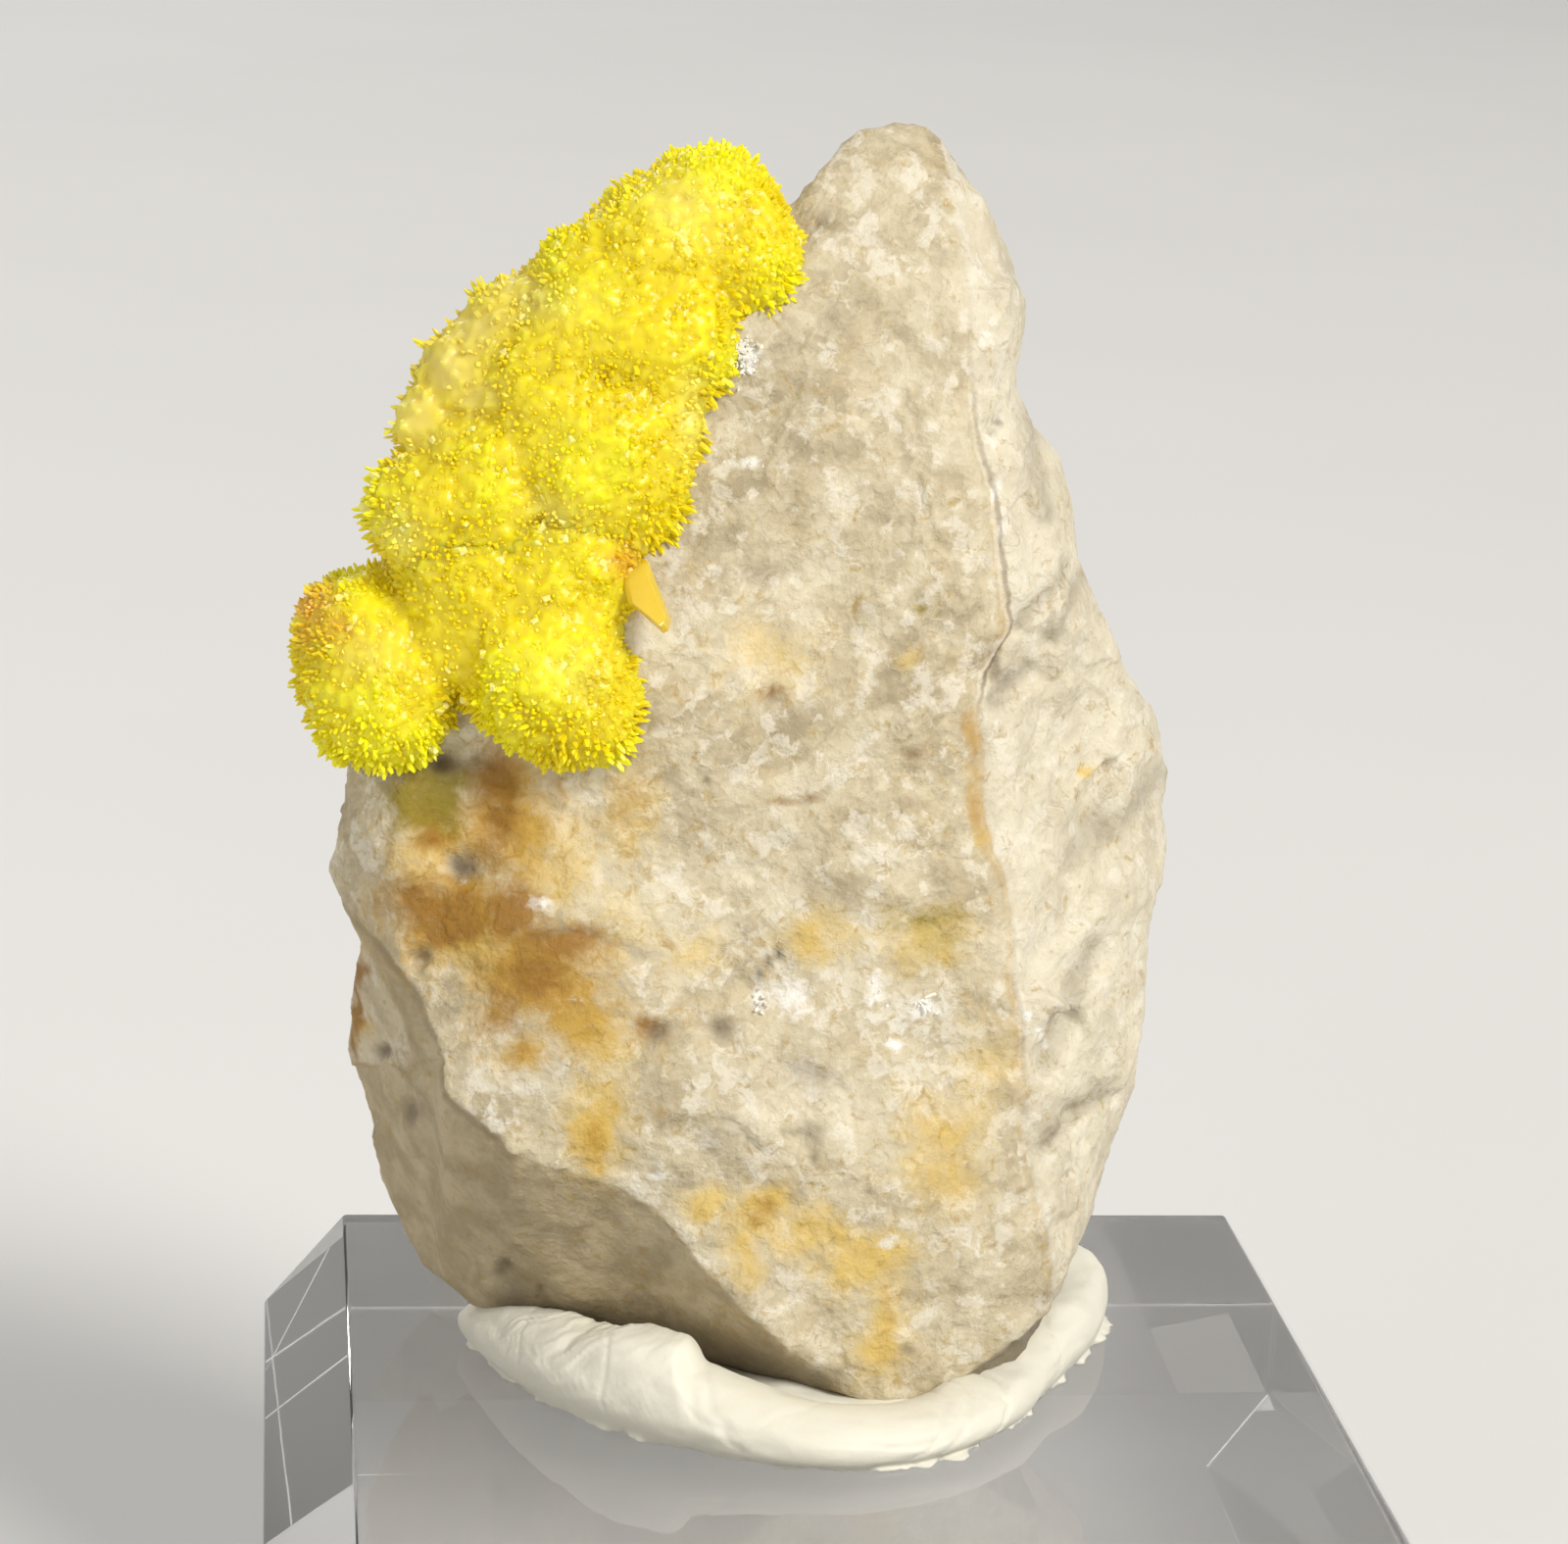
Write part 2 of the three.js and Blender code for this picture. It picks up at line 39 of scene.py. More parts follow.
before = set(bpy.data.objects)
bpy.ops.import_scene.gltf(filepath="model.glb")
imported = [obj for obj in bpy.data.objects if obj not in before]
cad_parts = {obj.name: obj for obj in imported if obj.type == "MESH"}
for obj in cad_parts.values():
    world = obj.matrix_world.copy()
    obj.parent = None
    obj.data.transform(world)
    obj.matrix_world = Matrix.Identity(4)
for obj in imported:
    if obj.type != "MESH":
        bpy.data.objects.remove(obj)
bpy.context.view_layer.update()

# Shapes are worked out in millimetres and written to meshes in metres.
MM = 0.001
# Keeps a division away from zero.
TINY = 1e-9

BASE_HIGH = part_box("acrylic_base")[1]
BASE_TOP = BASE_HIGH.z / MM
BASE_HALF = BASE_HIGH.x / MM
# How far in and how far down the block's bevel goes.
BEVEL_WIDE = 2.35
BEVEL_HIGH = 3.7

# The stone, the crust and the blade are drawn as an eye at SIGHT sees them. A drawn point (u, w) is
# where its line of sight crosses the upright plane y = DRAWN_AT: u to the right, w above the base.
SIGHT = (-16.2, -121.3, 61.7)
DRAWN_AT = 1.0

# The stone's outline, the middle that its grid spreads from, its least height above the base, and how
# much the grid is crowded towards the rim.
STONE_OUTLINE = np.array([
    (0.1, 34.8), (0.9, 34.7), (1.5, 34.2), (2.7, 32.7), (3.2, 31.7), (3.7, 30.2), (3.7, 29.2),
    (3.6, 27.8), (4.0, 27.1), (4.9, 26.0), (5.4, 24.6), (5.6, 23.3), (6.4, 21.5), (7.1, 20.3),
    (7.9, 19.1), (8.4, 17.4), (8.3, 16.4), (8.5, 15.3), (8.3, 13.4), (8.0, 10.8), (8.0, 8.4),
    (7.4, 6.6), (7.0, 4.8), (6.5, 3.2), (6.0, 1.75), (5.3, 0.5), (4.1, -0.4), (2.6, -1.2), (1.5, -1.5),
    (0.4, -1.0), (-4.2, 0.3), (-8.1, 1.5), (-10.2, 1.9), (-11.6, 3.1), (-12.4, 4.7), (-13.1, 6.8),
    (-13.0, 7.1), (-13.7, 9.3), (-13.6, 11.2), (-13.4, 12.3), (-14.3, 14.3), (-13.9, 16.2),
    (-13.9, 19.4), (-13.3, 21.4), (-12.0, 24.0), (-11.7, 25.9), (-11.6, 27.0), (-10.8, 28.4),
    (-8.9, 29.4), (-6.6, 30.3), (-4.9, 31.0), (-3.3, 31.8), (-2.3, 32.6), (-1.5, 33.8), (-0.8, 34.5),
])
STONE_MIDDLE = (-3.0, 16.5)
STONE_CLEAR = 0.3
RIM_CROWDING = 0.35

# The show face: its depth at the foot, its lean, its bow about the line u = FACE_CREST, how it rounds
# back above SHOULDER_START, and its swell. A swell's waves are (radians for each u, each w, start).
FACE_FOOT = -3.7
FACE_LEAN = 0.115
FACE_BOW = 0.011
FACE_CREST = -2.5
SHOULDER_START = 28.5
SHOULDER_BOW = 0.055
FACE_SWELL = 0.28
FACE_WAVES = ((0.62, 0.23, 0.8), (-0.17, 0.41, 0))

# The right ridge as (w, u) with the groove along it as (w, deep), and the lower ridge as (u, w). Past
# each the stone falls back at its slope, on the right after a small step.
RIGHT_RIDGE = np.array([
    (-2, 6.6), (1.8, 6.0), (4, 5.75), (6, 5.1), (8, 4.9), (10, 4.75), (11.2, 4.45), (13, 4.3),
    (14.0, 4.2), (15.0, 3.75), (16.0, 3.45), (17.0, 3.3), (18.0, 3.25), (19.1, 3.0), (20.0, 3.15),
    (20.7, 3.45), (21.3, 3.75), (22.0, 3.7), (23.0, 3.55), (24.0, 3.4), (25.0, 3.2), (26.0, 2.85),
    (27.0, 2.6), (28.6, 2.3), (30.4, 2.3), (32.6, 1.7), (35, 1.2),
])
RIGHT_SLOPE = 0.8
RIGHT_STEP = 0.12
STEP_WIDE = 0.3
RIGHT_GROOVE = np.array([
    (0, 0.05), (5, 0.12), (12, 0.12), (15, 0.2), (19, 0.28), (19.7, 0.6), (20.6, 0.6), (21.3, 0.3),
    (24, 0.22), (27, 0.15), (33, 0.03),
])
GROOVE_WIDE = 0.28
LOWER_RIDGE = np.array([
    (-16, 16.0), (-13.4, 12.9), (-12.9, 12.4), (-12.0, 11.0), (-11.3, 9.7), (-11.05, 8.2), (-10.0, 7.1),
    (-9.1, 6.3), (-8.0, 5.9), (-6.4, 5.4), (-5.3, 4.7), (-4.4, 3.7), (-3.5, 2.7), (-2.3, 1.5), (-1.6, 0.9),
    (-0.1, -0.4), (0.9, -1.1), (4, -3.4), (9, -6),
])
LOWER_SLOPE = 0.85
# The stone also falls back left of LEFT_EDGE, and under a slanting line at the foot of its right side.
LEFT_EDGE = -12.5
LEFT_SLOPE = 0.95
FOOT_EDGE = {"u": 5.6, "w": 1.4, "rise": 0.85, "slope": 0.9}

# Hollows as (u, w, reach, deep), furrows as (from u, from w, to u, to w, reach, deep), and the back's
# facets as (depth, its change with u, its change with w).
FACE_HOLLOWS = [
    (-2.2, 11.0, 1.5, 0.25), (-1.0, 7.5, 1.6, 0.22), (-9.9, 15.5, 2.2, 0.3), (-3.8, 26.0, 1.7, 0.25),
    (-5.8, 7.4, 1.7, -0.22), (0.9, 20.5, 2.4, -0.2), (1.2, 4.0, 1.6, -0.15),
]
FURROWS = [
    (8.4, 17.4, 5.9, 15.0, 0.62, 0.4), (7.2, 8.1, 6.1, 7.5, 0.35, 0.55), (6.1, 7.5, 5.4, 6.5, 0.35, 0.4),
    (5.2, 23.0, 4.0, 21.4, 0.35, 0.4), (5.7, 22.8, 4.9, 21.1, 0.35, 0.3), (6.6, 12.4, 5.6, 9.0, 0.4, 0.3),
    (3.9, 28.0, 4.7, 24.4, 0.35, 0.3), (4.4, 20.2, 3.5, 19.2, 0.35, 0.25),
]
BACK_FACETS = [
    (6.4, 0.1, 0.13), (12.9, 0.12, -0.2), (13.4, -0.6, 0.05), (12.6, 0.55, 0.02), (1.9, -0.25, 0.95),
]
BACK_SWELL = 0.45
BACK_WAVES = ((0.5, -0.31, 0), (0.35, 0.27, 0.6))
# How softly the stone's parts meet, how far back its rim lies between front and back, and how tightly
# each side rounds off to the rim.
EDGE_SOFT = 0.1
RIM_SHARE = 0.18
FRONT_ROUNDING = 18
BACK_ROUNDING = 5

# Small pits as (u, w, reach, deep), and hairline cracks as drawn points with their depth.
PITS = [
    (-12.8, 9.2, 0.3, 0.25), (-11.8, 11.9, 0.3, 0.2), (-2.5, 19.3, 0.35, 0.14), (-5.4, 9.8, 0.32, 0.2),
    (-3.5, 9.9, 0.45, 0.16), (-4.2, 16.9, 0.16, 0.16), (3.1, 26.6, 0.14, 0.12), (-1.7, 32.1, 0.3, 0.16),
    (-2.7, 17.7, 0.15, 0.12), (-10.7, 14.4, 0.42, 0.28), (-9.4, 2.9, 0.3, 0.22), (-8.3, 2.3, 0.22, 0.2),
    (-12.0, 7.5, 0.35, 0.15), (-11.4, 17.3, 0.35, 0.25), (-0.9, 6.9, 0.4, 0.15), (-3.6, 17.1, 0.2, 0.1),
]
CRACKS = [
    (0.06, [(-1.2, 29.6), (-1.8, 29.3), (-2.3, 29.0), (-2.8, 28.8), (-3.3, 28.3)]),
    (0.06, [(-2.2, 16.3), (-1.6, 16.3), (-1.0, 16.6), (-0.5, 16.9)]),
    (0.07, [(-8.9, 12.5), (-7.8, 12.7), (-6.8, 12.5), (-5.7, 12.0)]),
    (0.14, [(-2.75, 11.1), (-2.6, 11.4), (-2.35, 11.75), (-2.0, 12.0)]),
    (0.06, [(-3.7, 12.3), (-3.2, 11.7), (-2.8, 11.2)]),
    (0.12, [(-1.65, 7.0), (-1.25, 7.05), (-0.95, 6.6), (-0.85, 6.1)]),
    (0.06, [(-2.7, 6.9), (-2.4, 6.6)]),
    (0.06, [(-1.9, 9.1), (-1.3, 8.7), (-0.5, 8.6), (0.0, 8.2)]),
]
# Ledges as (height, reach, drawn line): the stone is raised on the line's left, and less away from it.
LEDGES = [
    (0.12, 1.2, [(-0.9, 25.5), (-1.05, 25.2), (-1.3, 25.05), (-1.8, 25.35), (-2.2, 26.0), (-2.6, 26.4)]),
    (0.12, 1.0, [(-2.0, 28.9), (-2.2, 28.2), (-2.1, 27.7), (-2.6, 26.9), (-2.7, 26.4)]),
    (0.10, 0.9, [(-2.1, 25.5), (-2.1, 24.6), (-1.9, 23.6)]),
    (0.10, 1.0, [(1.1, 26.8), (1.5, 25.9), (1.2, 25.0), (1.6, 24.2)]),
    (0.10, 1.4, [(-13.4, 8.8), (-12.6, 8.9), (-12.1, 8.7), (-11.5, 9.0)]),
    (0.09, 0.8, [(-6.3, 10.4), (-5.6, 10.3), (-5.0, 10.1), (-4.9, 9.5)]),
    (0.09, 0.9, [(-4.4, 7.4), (-3.5, 7.5), (-2.6, 7.1), (-2.3, 6.4)]),
    (0.09, 0.8, [(1.3, 18.3), (1.6, 17.9), (1.3, 17.4), (1.7, 17.0)]),
    (0.10, 1.0, [(3.4, 13.8), (2.6, 14.1), (1.6, 13.8), (1.0, 14.1)]),
    (0.09, 0.8, [(0.3, 5.6), (0.9, 5.2), (0.8, 4.4)]),
    (0.10, 0.9, [(4.5, 5.7), (4.4, 5.2), (4.9, 5.0)]),
]
# Pits, cracks and ledges wander with the stone's noises by these shares. A pit or a crack gets painted
# shade as dark as its depth times DARKNESS, and a pit's painted shade fades at its edge as a power.
PIT_WANDER = 0.35
PIT_DARKNESS = 4
PIT_FADE = 1.5
CRACK_WANDER = 0.1
CRACK_WIDE = 0.13
CRACK_DARKNESS = 5
LEDGE_WANDER = 0.08

# The stone's small relief. Noises are (size, layers, seed). Broken facets are (slanted or straight space,
# (size, tilt, sharpness, seed), shares), and terraces (the step of noise for each, noise, shares). The
# shares say how much shows on the face, the low flank, the right flank and the back. TERRACE_SLOPE is
# where within a step the slope between two terraces lies.
WAVE_NOISE = (2.6, 3, 11)
GRAIN_NOISE = (0.5, 2, 31)
SLANTED = np.array([[1.0, 0, 0.5], [0, 1, 0], [-1.1, 0, 0.55]])
STRAIGHT = np.eye(3)
FACETS = [
    (SLANTED, (1.5, 0.9, 20, 21), (0, 0, 0.25, 0.3)),
    (SLANTED, (2.6, 1.0, 34, 51), (0, 0, 0.9, 0)),
    (STRAIGHT, (3.1, 0.9, 30, 41), (0, 0, 0, 0.75)),
    (STRAIGHT, (0.8, 0.8, 14, 61), (0.09, 0.05, 0.08, 0.08)),
]
TERRACES = [
    (0.42, (1.9, 4, 35), (0.8, 0.35, 0.5, 0.5)),
    (0.5, (0.9, 3, 55), (0.35, 0, 0.105, 0.105)),
]
TERRACE_SLOPE = (0.4, 0.6)
# How far past a ridge its flank is in full, how far in from the outline the facets are full, their share
# on the outline itself, the share of the waves that the face has, and how much calmer the low flank's
# grain is.
RIDGE_SOFT = 0.8
FACET_INSET = 1.6
FACET_LEAST = 0.2
FACE_CALM = 0.6
LOW_CALM = 0.5

# The stone's stains and clear spots as (u, w, reach across, reach up, strength).
STAINS = {
    "rust": [
        (-11.7, 13.4, 0.9, 0.55, 1.0), (-10.9, 12.6, 0.7, 0.5, 1.0), (-11.0, 13.1, 1.2, 0.8, 0.8),
        (-9.8, 15.6, 0.5, 1.3, 0.85), (-10.1, 16.8, 0.6, 0.7, 0.8), (-9.5, 13.1, 0.8, 0.8, 0.95),
        (-8.1, 12.3, 1.2, 0.4, 0.75), (-11.5, 15.2, 0.5, 0.5, 0.6), (-9.2, 9.2, 0.4, 0.35, 0.35),
        (-6.9, 6.6, 0.3, 0.5, 0.15), (-13.5, 10.0, 0.3, 0.5, 0.8), (-13.4, 11.4, 0.2, 0.3, 0.9),
        (-13.7, 9.5, 0.15, 0.5, 0.9), (-13.6, 10.6, 0.15, 0.7, 0.9), (-8.6, 11.3, 1.2, 1.0, 0.62),
        (-2.5, 19.35, 0.35, 0.28, 0.6), (-5.4, 9.8, 0.4, 0.3, 0.6), (-2.2, 4.5, 0.45, 0.35, 0.45),
        (4.7, 5.4, 0.14, 0.1, 0.6), (1.45, 17.75, 0.3, 0.25, 0.4), (-2.0, 16.4, 0.5, 0.16, 0.45),
        (-1.2, 16.5, 0.4, 0.14, 0.4), (-9.7, 10.4, 0.6, 0.9, 0.5), (2.85, 18.4, 0.16, 0.5, 0.75),
        (3.2, 16.0, 0.18, 0.5, 0.7), (-6.4, 16.2, 0.5, 0.8, 0.25),
    ],
    "ochre": [
        (-8.5, 11.2, 1.7, 1.3, 1.0), (-7.5, 10.2, 1.4, 0.9, 0.85), (-9.6, 15.7, 1.2, 1.9, 0.8),
        (-11.0, 13.1, 1.9, 1.4, 0.85), (-6.85, 6.8, 0.5, 1.0, 0.6), (-9.2, 9.2, 0.75, 0.55, 0.95),
        (-11.3, 15.4, 1.2, 1.1, 0.6), (-9.8, 10.3, 0.8, 1.1, 0.6), (-13.4, 9.9, 0.45, 0.5, 0.7),
        (-2.3, 4.5, 0.5, 0.4, 0.5), (1.3, 1.9, 0.25, 0.8, 0.4),
    ],
    "gold": [
        (-8.0, 14.6, 1.2, 1.4, 0.45), (2.1, 12.7, 1.3, 0.8, 0.55), (2.5, 12.35, 0.6, 0.5, 0.5),
        (-1.1, 12.5, 1.0, 0.6, 0.8), (-2.2, 4.4, 1.0, 0.8, 1.0), (-2.7, 3.5, 0.6, 0.9, 0.9),
        (-0.8, 3.9, 1.2, 0.8, 0.72), (-3.8, 4.9, 0.8, 0.6, 0.7), (1.2, 1.8, 0.7, 1.6, 0.72),
        (1.1, 0.6, 0.8, 0.9, 0.72), (2.6, 5.6, 1.1, 0.9, 0.6), (2.9, 7.0, 1.2, 1.1, 0.5),
        (-6.3, 16.0, 0.8, 1.7, 0.4), (1.0, 20.35, 0.35, 0.3, 0.5), (6.3, 17.15, 0.22, 0.18, 0.7),
        (3.8, 8.8, 1.0, 1.3, 0.5), (-2.5, 20.3, 1.5, 1.0, 0.4), (-4.2, 12.3, 0.8, 0.7, 0.5),
        (-6.5, 12.8, 1.2, 0.8, 0.4), (0.4, 3.2, 1.5, 0.9, 0.7), (-10.3, 12.0, 1.4, 1.0, 0.6),
        (-6.6, 9.4, 1.0, 0.8, 0.6), (-11.6, 14.6, 1.0, 0.9, 0.5), (-6.85, 7.2, 0.8, 1.5, 1.0),
        (3.3, 15.2, 0.25, 0.3, 0.8),
    ],
    "olive": [
        (-11.75, 16.2, 0.75, 0.8, 1.05), (-11.6, 17.1, 0.85, 0.6, 1.0), (-11.0, 17.0, 0.7, 0.5, 0.6),
        (-12.2, 15.7, 0.5, 0.5, 0.5), (-11.2, 15.8, 0.5, 0.6, 0.55), (2.0, 13.1, 1.1, 0.5, 0.45),
        (1.25, 21.7, 0.2, 0.17, 0.6), (2.3, 12.6, 0.9, 0.6, 0.3),
    ],
    "taupe": [
        (3.5, 20.2, 0.18, 0.4, 0.8), (3.8, 19.9, 0.3, 0.25, 0.4), (3.5, 19.3, 0.3, 0.5, 0.35),
        (-10.65, 14.45, 0.28, 0.25, 1.0), (-3.35, 9.9, 0.35, 0.3, 0.8), (-2.75, 22.85, 0.6, 0.4, 0.4),
        (-3.3, 6.8, 1.0, 0.6, 0.4), (-1.1, 8.6, 0.9, 0.5, 0.4), (5.6, 7.0, 0.4, 0.5, 0.5),
        (-11.2, 17.4, 0.9, 0.3, 0.8), (-11.9, 7.5, 0.35, 0.3, 0.5), (5.4, 10.6, 0.2, 0.4, 0.4),
        (1.45, 17.75, 0.3, 0.25, 0.5), (3.1, 26.6, 0.12, 0.1, 0.6), (-0.5, 13.7, 0.9, 0.5, 0.3),
        (-4.5, 27.5, 0.5, 1.2, 0.4), (-5.2, 23.6, 0.35, 1.2, 0.3), (-6.0, 18.3, 0.4, 1.2, 0.35),
        (-1.2, 5.1, 0.25, 0.2, 0.5), (0.7, 5.4, 0.15, 0.2, 0.5), (2.0, 0.6, 0.2, 0.2, 0.6),
    ],
    "frost": [
        (-3.3, 25.65, 0.45, 0.25, 1.2), (-3.5, 28.4, 0.35, 0.5, 0.9), (-2.55, 10.65, 0.3, 0.4, 0.9),
        (-1.5, 10.9, 0.5, 0.5, 0.75), (0.6, 11.0, 0.4, 0.9, 0.8), (2.0, 10.6, 0.7, 0.4, 0.9),
        (1.2, 9.4, 0.4, 0.25, 0.7), (4.85, 10.35, 0.1, 0.2, 1.2), (5.2, 9.97, 0.14, 0.1, 1.2),
        (5.5, 9.7, 0.12, 0.14, 1.2), (5.73, 9.45, 0.1, 0.18, 1.2), (3.0, 26.2, 0.22, 0.5, 0.4),
        (3.3, 25.0, 0.13, 0.6, 0.8), (3.52, 24.0, 0.1, 0.5, 0.7), (-9.5, 7.4, 0.8, 0.6, 0.55),
        (-10.6, 14.0, 0.5, 0.3, 0.5), (-8.6, 13.4, 0.55, 0.35, 0.5), (2.7, 31.0, 0.5, 0.9, 0.5),
        (2.6, 29.2, 0.3, 0.7, 0.6), (-5.2, 5.7, 0.3, 0.2, 0.8), (1.2, 3.7, 0.4, 0.3, 0.7),
        (-7.6, 10.75, 0.4, 0.25, 0.4), (-2.35, 11.5, 0.3, 0.3, 0.5), (2.1, 21.2, 0.6, 0.8, 0.4),
        (-12.2, 12.6, 0.5, 0.4, 0.35), (-3.5, 25.0, 0.5, 0.5, 0.4), (-1.7, 10.9, 1.4, 0.9, 0.62),
        (1.0, 10.4, 2.2, 1.1, 0.5),
    ],
}
# How spots are drawn out: the noises that vary their strength and shift them across and up, by how much,
# and how full a spot's middle is. Stains on the back lie where a noise is high.
UNEVEN = 0.4
SPOT_WANDER = (1.1, 4, 71)
SPOT_SHIFTS = ((1.2, 3, 81), (1.2, 3, 91))
SOAKED = {"shift": 0.3, "full": 1.45}
FROSTED = {"shift": 0.12, "full": 1.0}
BACK_STAINS = {"noise": (5.0, 4, 101), "from": 0.25, "to": 1.0, "strength": 0.8}
# The ochre seam just left of the right ridge, as (w, width, strength), its soft edge and its unevenness.
SEAM = np.array([
    (1.0, 0.12, 0.2), (5.0, 0.14, 0.28), (8.0, 0.22, 0.38), (10.4, 0.26, 0.42), (11.1, 0.2, 0.5),
    (12.0, 0.15, 0.4), (13.7, 0.15, 0.4), (14.4, 0.22, 0.5), (15.0, 0.34, 0.6), (15.8, 0.42, 1.0),
    (16.4, 0.42, 0.95), (17.0, 0.38, 0.6), (17.6, 0.38, 0.55), (18.3, 0.44, 1.0), (18.9, 0.42, 0.8),
    (19.2, 0.3, 0.0), (20.6, 0.2, 0.0), (21.0, 0.24, 0.5), (23.5, 0.2, 0.4), (25.0, 0.15, 0.25),
    (27.0, 0.1, 0.1),
])
SEAM_EDGE = (-0.1, 0.05)
SEAM_UNEVEN = 0.25
# A painted highlight along the right ridge, in the frost colour: how far right of it, how wide and
# strong, the heights that it fades in and out between, the middle and reach of the gap in it, and the
# span of noise that makes its patches.
PAINTED_RIDGE_HIGHLIGHT = {
    "at": 0.12, "wide": 0.1, "strength": 0.62, "low": (9, 14), "high": (27, 30), "gap": (19.4, 1.2),
}
HIGHLIGHT_PATCHES = (-0.6, 0.9)
# How strong the painted shade in the groove along the right ridge, and the painted highlight on the
# face's edge beside it, are: (w, strength).
GROOVE_SHADE = np.array([
    (0, 0.12), (8, 0.15), (9.5, 0.3), (12, 0.22), (14, 0.12), (18.6, 0.12), (19.4, 0.6), (20, 1.0),
    (20.8, 0.95), (21.6, 0.7), (24.5, 0.7), (26.5, 0.5), (28, 0.25), (31, 0.12), (34, 0),
])
# The paler facet under the lower ridge's left end: its right border as (w, u), and its lower edge.
SHELF_BORDER = np.array([(8.8, -11.95), (9.3, -12.0), (10.4, -12.35), (11.6, -12.95), (12.8, -13.5)])
SHELF_FOOT = 8.85
# How far before and past its border a facet's shade comes in.
BORDER_SOFT = (-0.05, 0.1)
# Painted shadow on the stone's underside, where it bends in over the putty, along a drawn line.
FOOT_SHADE = [(-9.0, 1.75), (-8.1, 1.5), (-6.3, 0.95), (-4.2, 0.35), (-2.3, -0.15), (-0.6, -0.75)]
FOOT_SHADE_REACH = 0.8
# How dark the painted shade in furrows is and over what share of their reach, how dark the painted
# shade on the falling foot is, and a strip of painted shade under the lower ridge that fades out to the
# right between -u = STRIP_ENDS.
FURROW_DARKNESS = 0.42
FURROW_SHARE = 0.8
FOOT_DARKNESS = 0.85
STRIP = {"below": 0.18, "wide": 0.16, "strength": 0.38}
STRIP_ENDS = (8.6, 9.6)
# White crystal clusters on the stone: (u, w, reach across, reach up, count).
DRUSE_SPOTS = [
    (-3.3, 25.65, 0.4, 0.18, 80), (-3.6, 28.5, 0.3, 0.45, 80), (-2.55, 10.65, 0.15, 0.2, 14),
    (0.6, 11.0, 0.2, 0.5, 8), (2.0, 10.6, 0.4, 0.2, 10),
]
# How the white crystals scatter, how deep in the stone's face their feet are, how they lean, and their
# least and greatest length and width. Their direction comes from the stone's depth a small step away.
DRUSE_SEED = 19
DRUSE_SCATTER = 0.7
DRUSE_SUNK = 0.02
DRUSE_LEAN = 0.8
DRUSE_LENGTH = (0.03, 0.1)
DRUSE_WIDTH = (0.05, 0.13)
DRUSE_STEP = 0.05

# The crust's lumps: (u, w, how far the centre lies behind the stone's face, radius).
LUMPS = [
    (-4.6, 32.2, 0.7, 1.7), (-3.6, 31.05, 0.65, 1.38), (-5.9, 31.1, 0.8, 1.8), (-7.2, 29.5, 1.1, 2.3),
    (-5.6, 28.9, 0.6, 1.7), (-6.2, 26.7, 0.4, 1.4), (-9.8, 28.9, 1.1, 1.3), (-10.8, 27.9, 0.9, 1.15),
    (-12.0, 26.7, 0.7, 0.75), (-8.6, 27.6, 0.8, 2.1), (-7.5, 25.9, 0.5, 2.35), (-10.2, 24.9, 0.6, 1.9),
    (-11.9, 24.2, 0.5, 1.4), (-8.1, 22.7, 0.5, 1.8), (-10.6, 22.4, 0.4, 1.6), (-11.0, 20.9, 0.4, 1.3),
    (-13.3, 20.6, 0.3, 1.9), (-13.0, 19.1, -0.1, 1.8), (-8.5, 19.9, 0.2, 2.1), (-7.6, 18.8, 0.1, 1.3),
    (-6.4, 24.6, 0.5, 1.25),
]
# How sharply the lumps meet: the larger, the sharper. Each is a ball of so many rings and points round.
LUMP_CREASE = 2.3
BALL_RINGS = 36
BALL_AROUND = 56
# How uneven the crust is, all over and where it is bare, each with its noise, and the noise that varies
# the strength of its tints.
CRUST_UNEVEN = 0.15
CRUST_NOISE = (1.0, 3, 131)
BARE_UNEVEN = 0.12
BARE_NOISE = (0.6, 2, 135)
TINT_WANDER = (0.9, 3, 141)
# The lumps of the crust's lower piece; the others make its upper piece.
LOWER_LUMPS = (13, 14, 15, 16, 17, 18, 19)
# The crust's coloured places: (u, w, reach across, reach up, strength). Calm places are also painted
# paler, as painted glow, and milky places are partly milky crystal and partly painted glow.
CRUST_TINTS = {
    "bare": [
        (-12.2, 26.8, 0.8, 0.8, 1.0), (-11.5, 28.1, 0.9, 0.9, 1.0), (-10.8, 29.2, 0.9, 0.8, 0.9),
        (-9.9, 30.2, 0.8, 0.6, 0.6), (-10.8, 27.3, 0.7, 0.6, 0.6),
    ],
    "calm": [
        (-5.2, 32.4, 1.0, 1.0, 1.0), (-7.4, 29.8, 1.6, 1.0, 1.0), (-6.2, 28.8, 0.9, 0.9, 0.9),
        (-9.2, 24.9, 1.0, 0.8, 0.8), (-7.2, 25.4, 1.0, 0.9, 0.9), (-8.4, 20.9, 1.1, 1.0, 1.0),
        (-13.3, 21.0, 0.8, 0.9, 0.8), (-8.2, 27.4, 1.2, 0.8, 0.6),
    ],
    "warm": [
        (-14.8, 21.6, 0.7, 0.6, 1.3), (-14.4, 21.1, 0.7, 0.5, 0.9), (-15.0, 20.9, 0.5, 0.6, 0.8),
        (-6.6, 22.9, 0.5, 0.5, 1.0),
    ],
    "milky": [
        (-5.4, 32.3, 1.0, 0.9, 0.6), (-13.4, 20.3, 0.9, 0.7, 0.35), (-7.8, 19.9, 0.9, 0.7, 0.35),
        (-5.0, 26.8, 0.4, 1.0, 0.8), (-9.2, 29.7, 1.4, 0.5, 0.5), (-8.5, 24.2, 0.8, 0.5, 0.5),
        (-12.6, 23.6, 0.6, 0.8, 0.6),
    ],
}
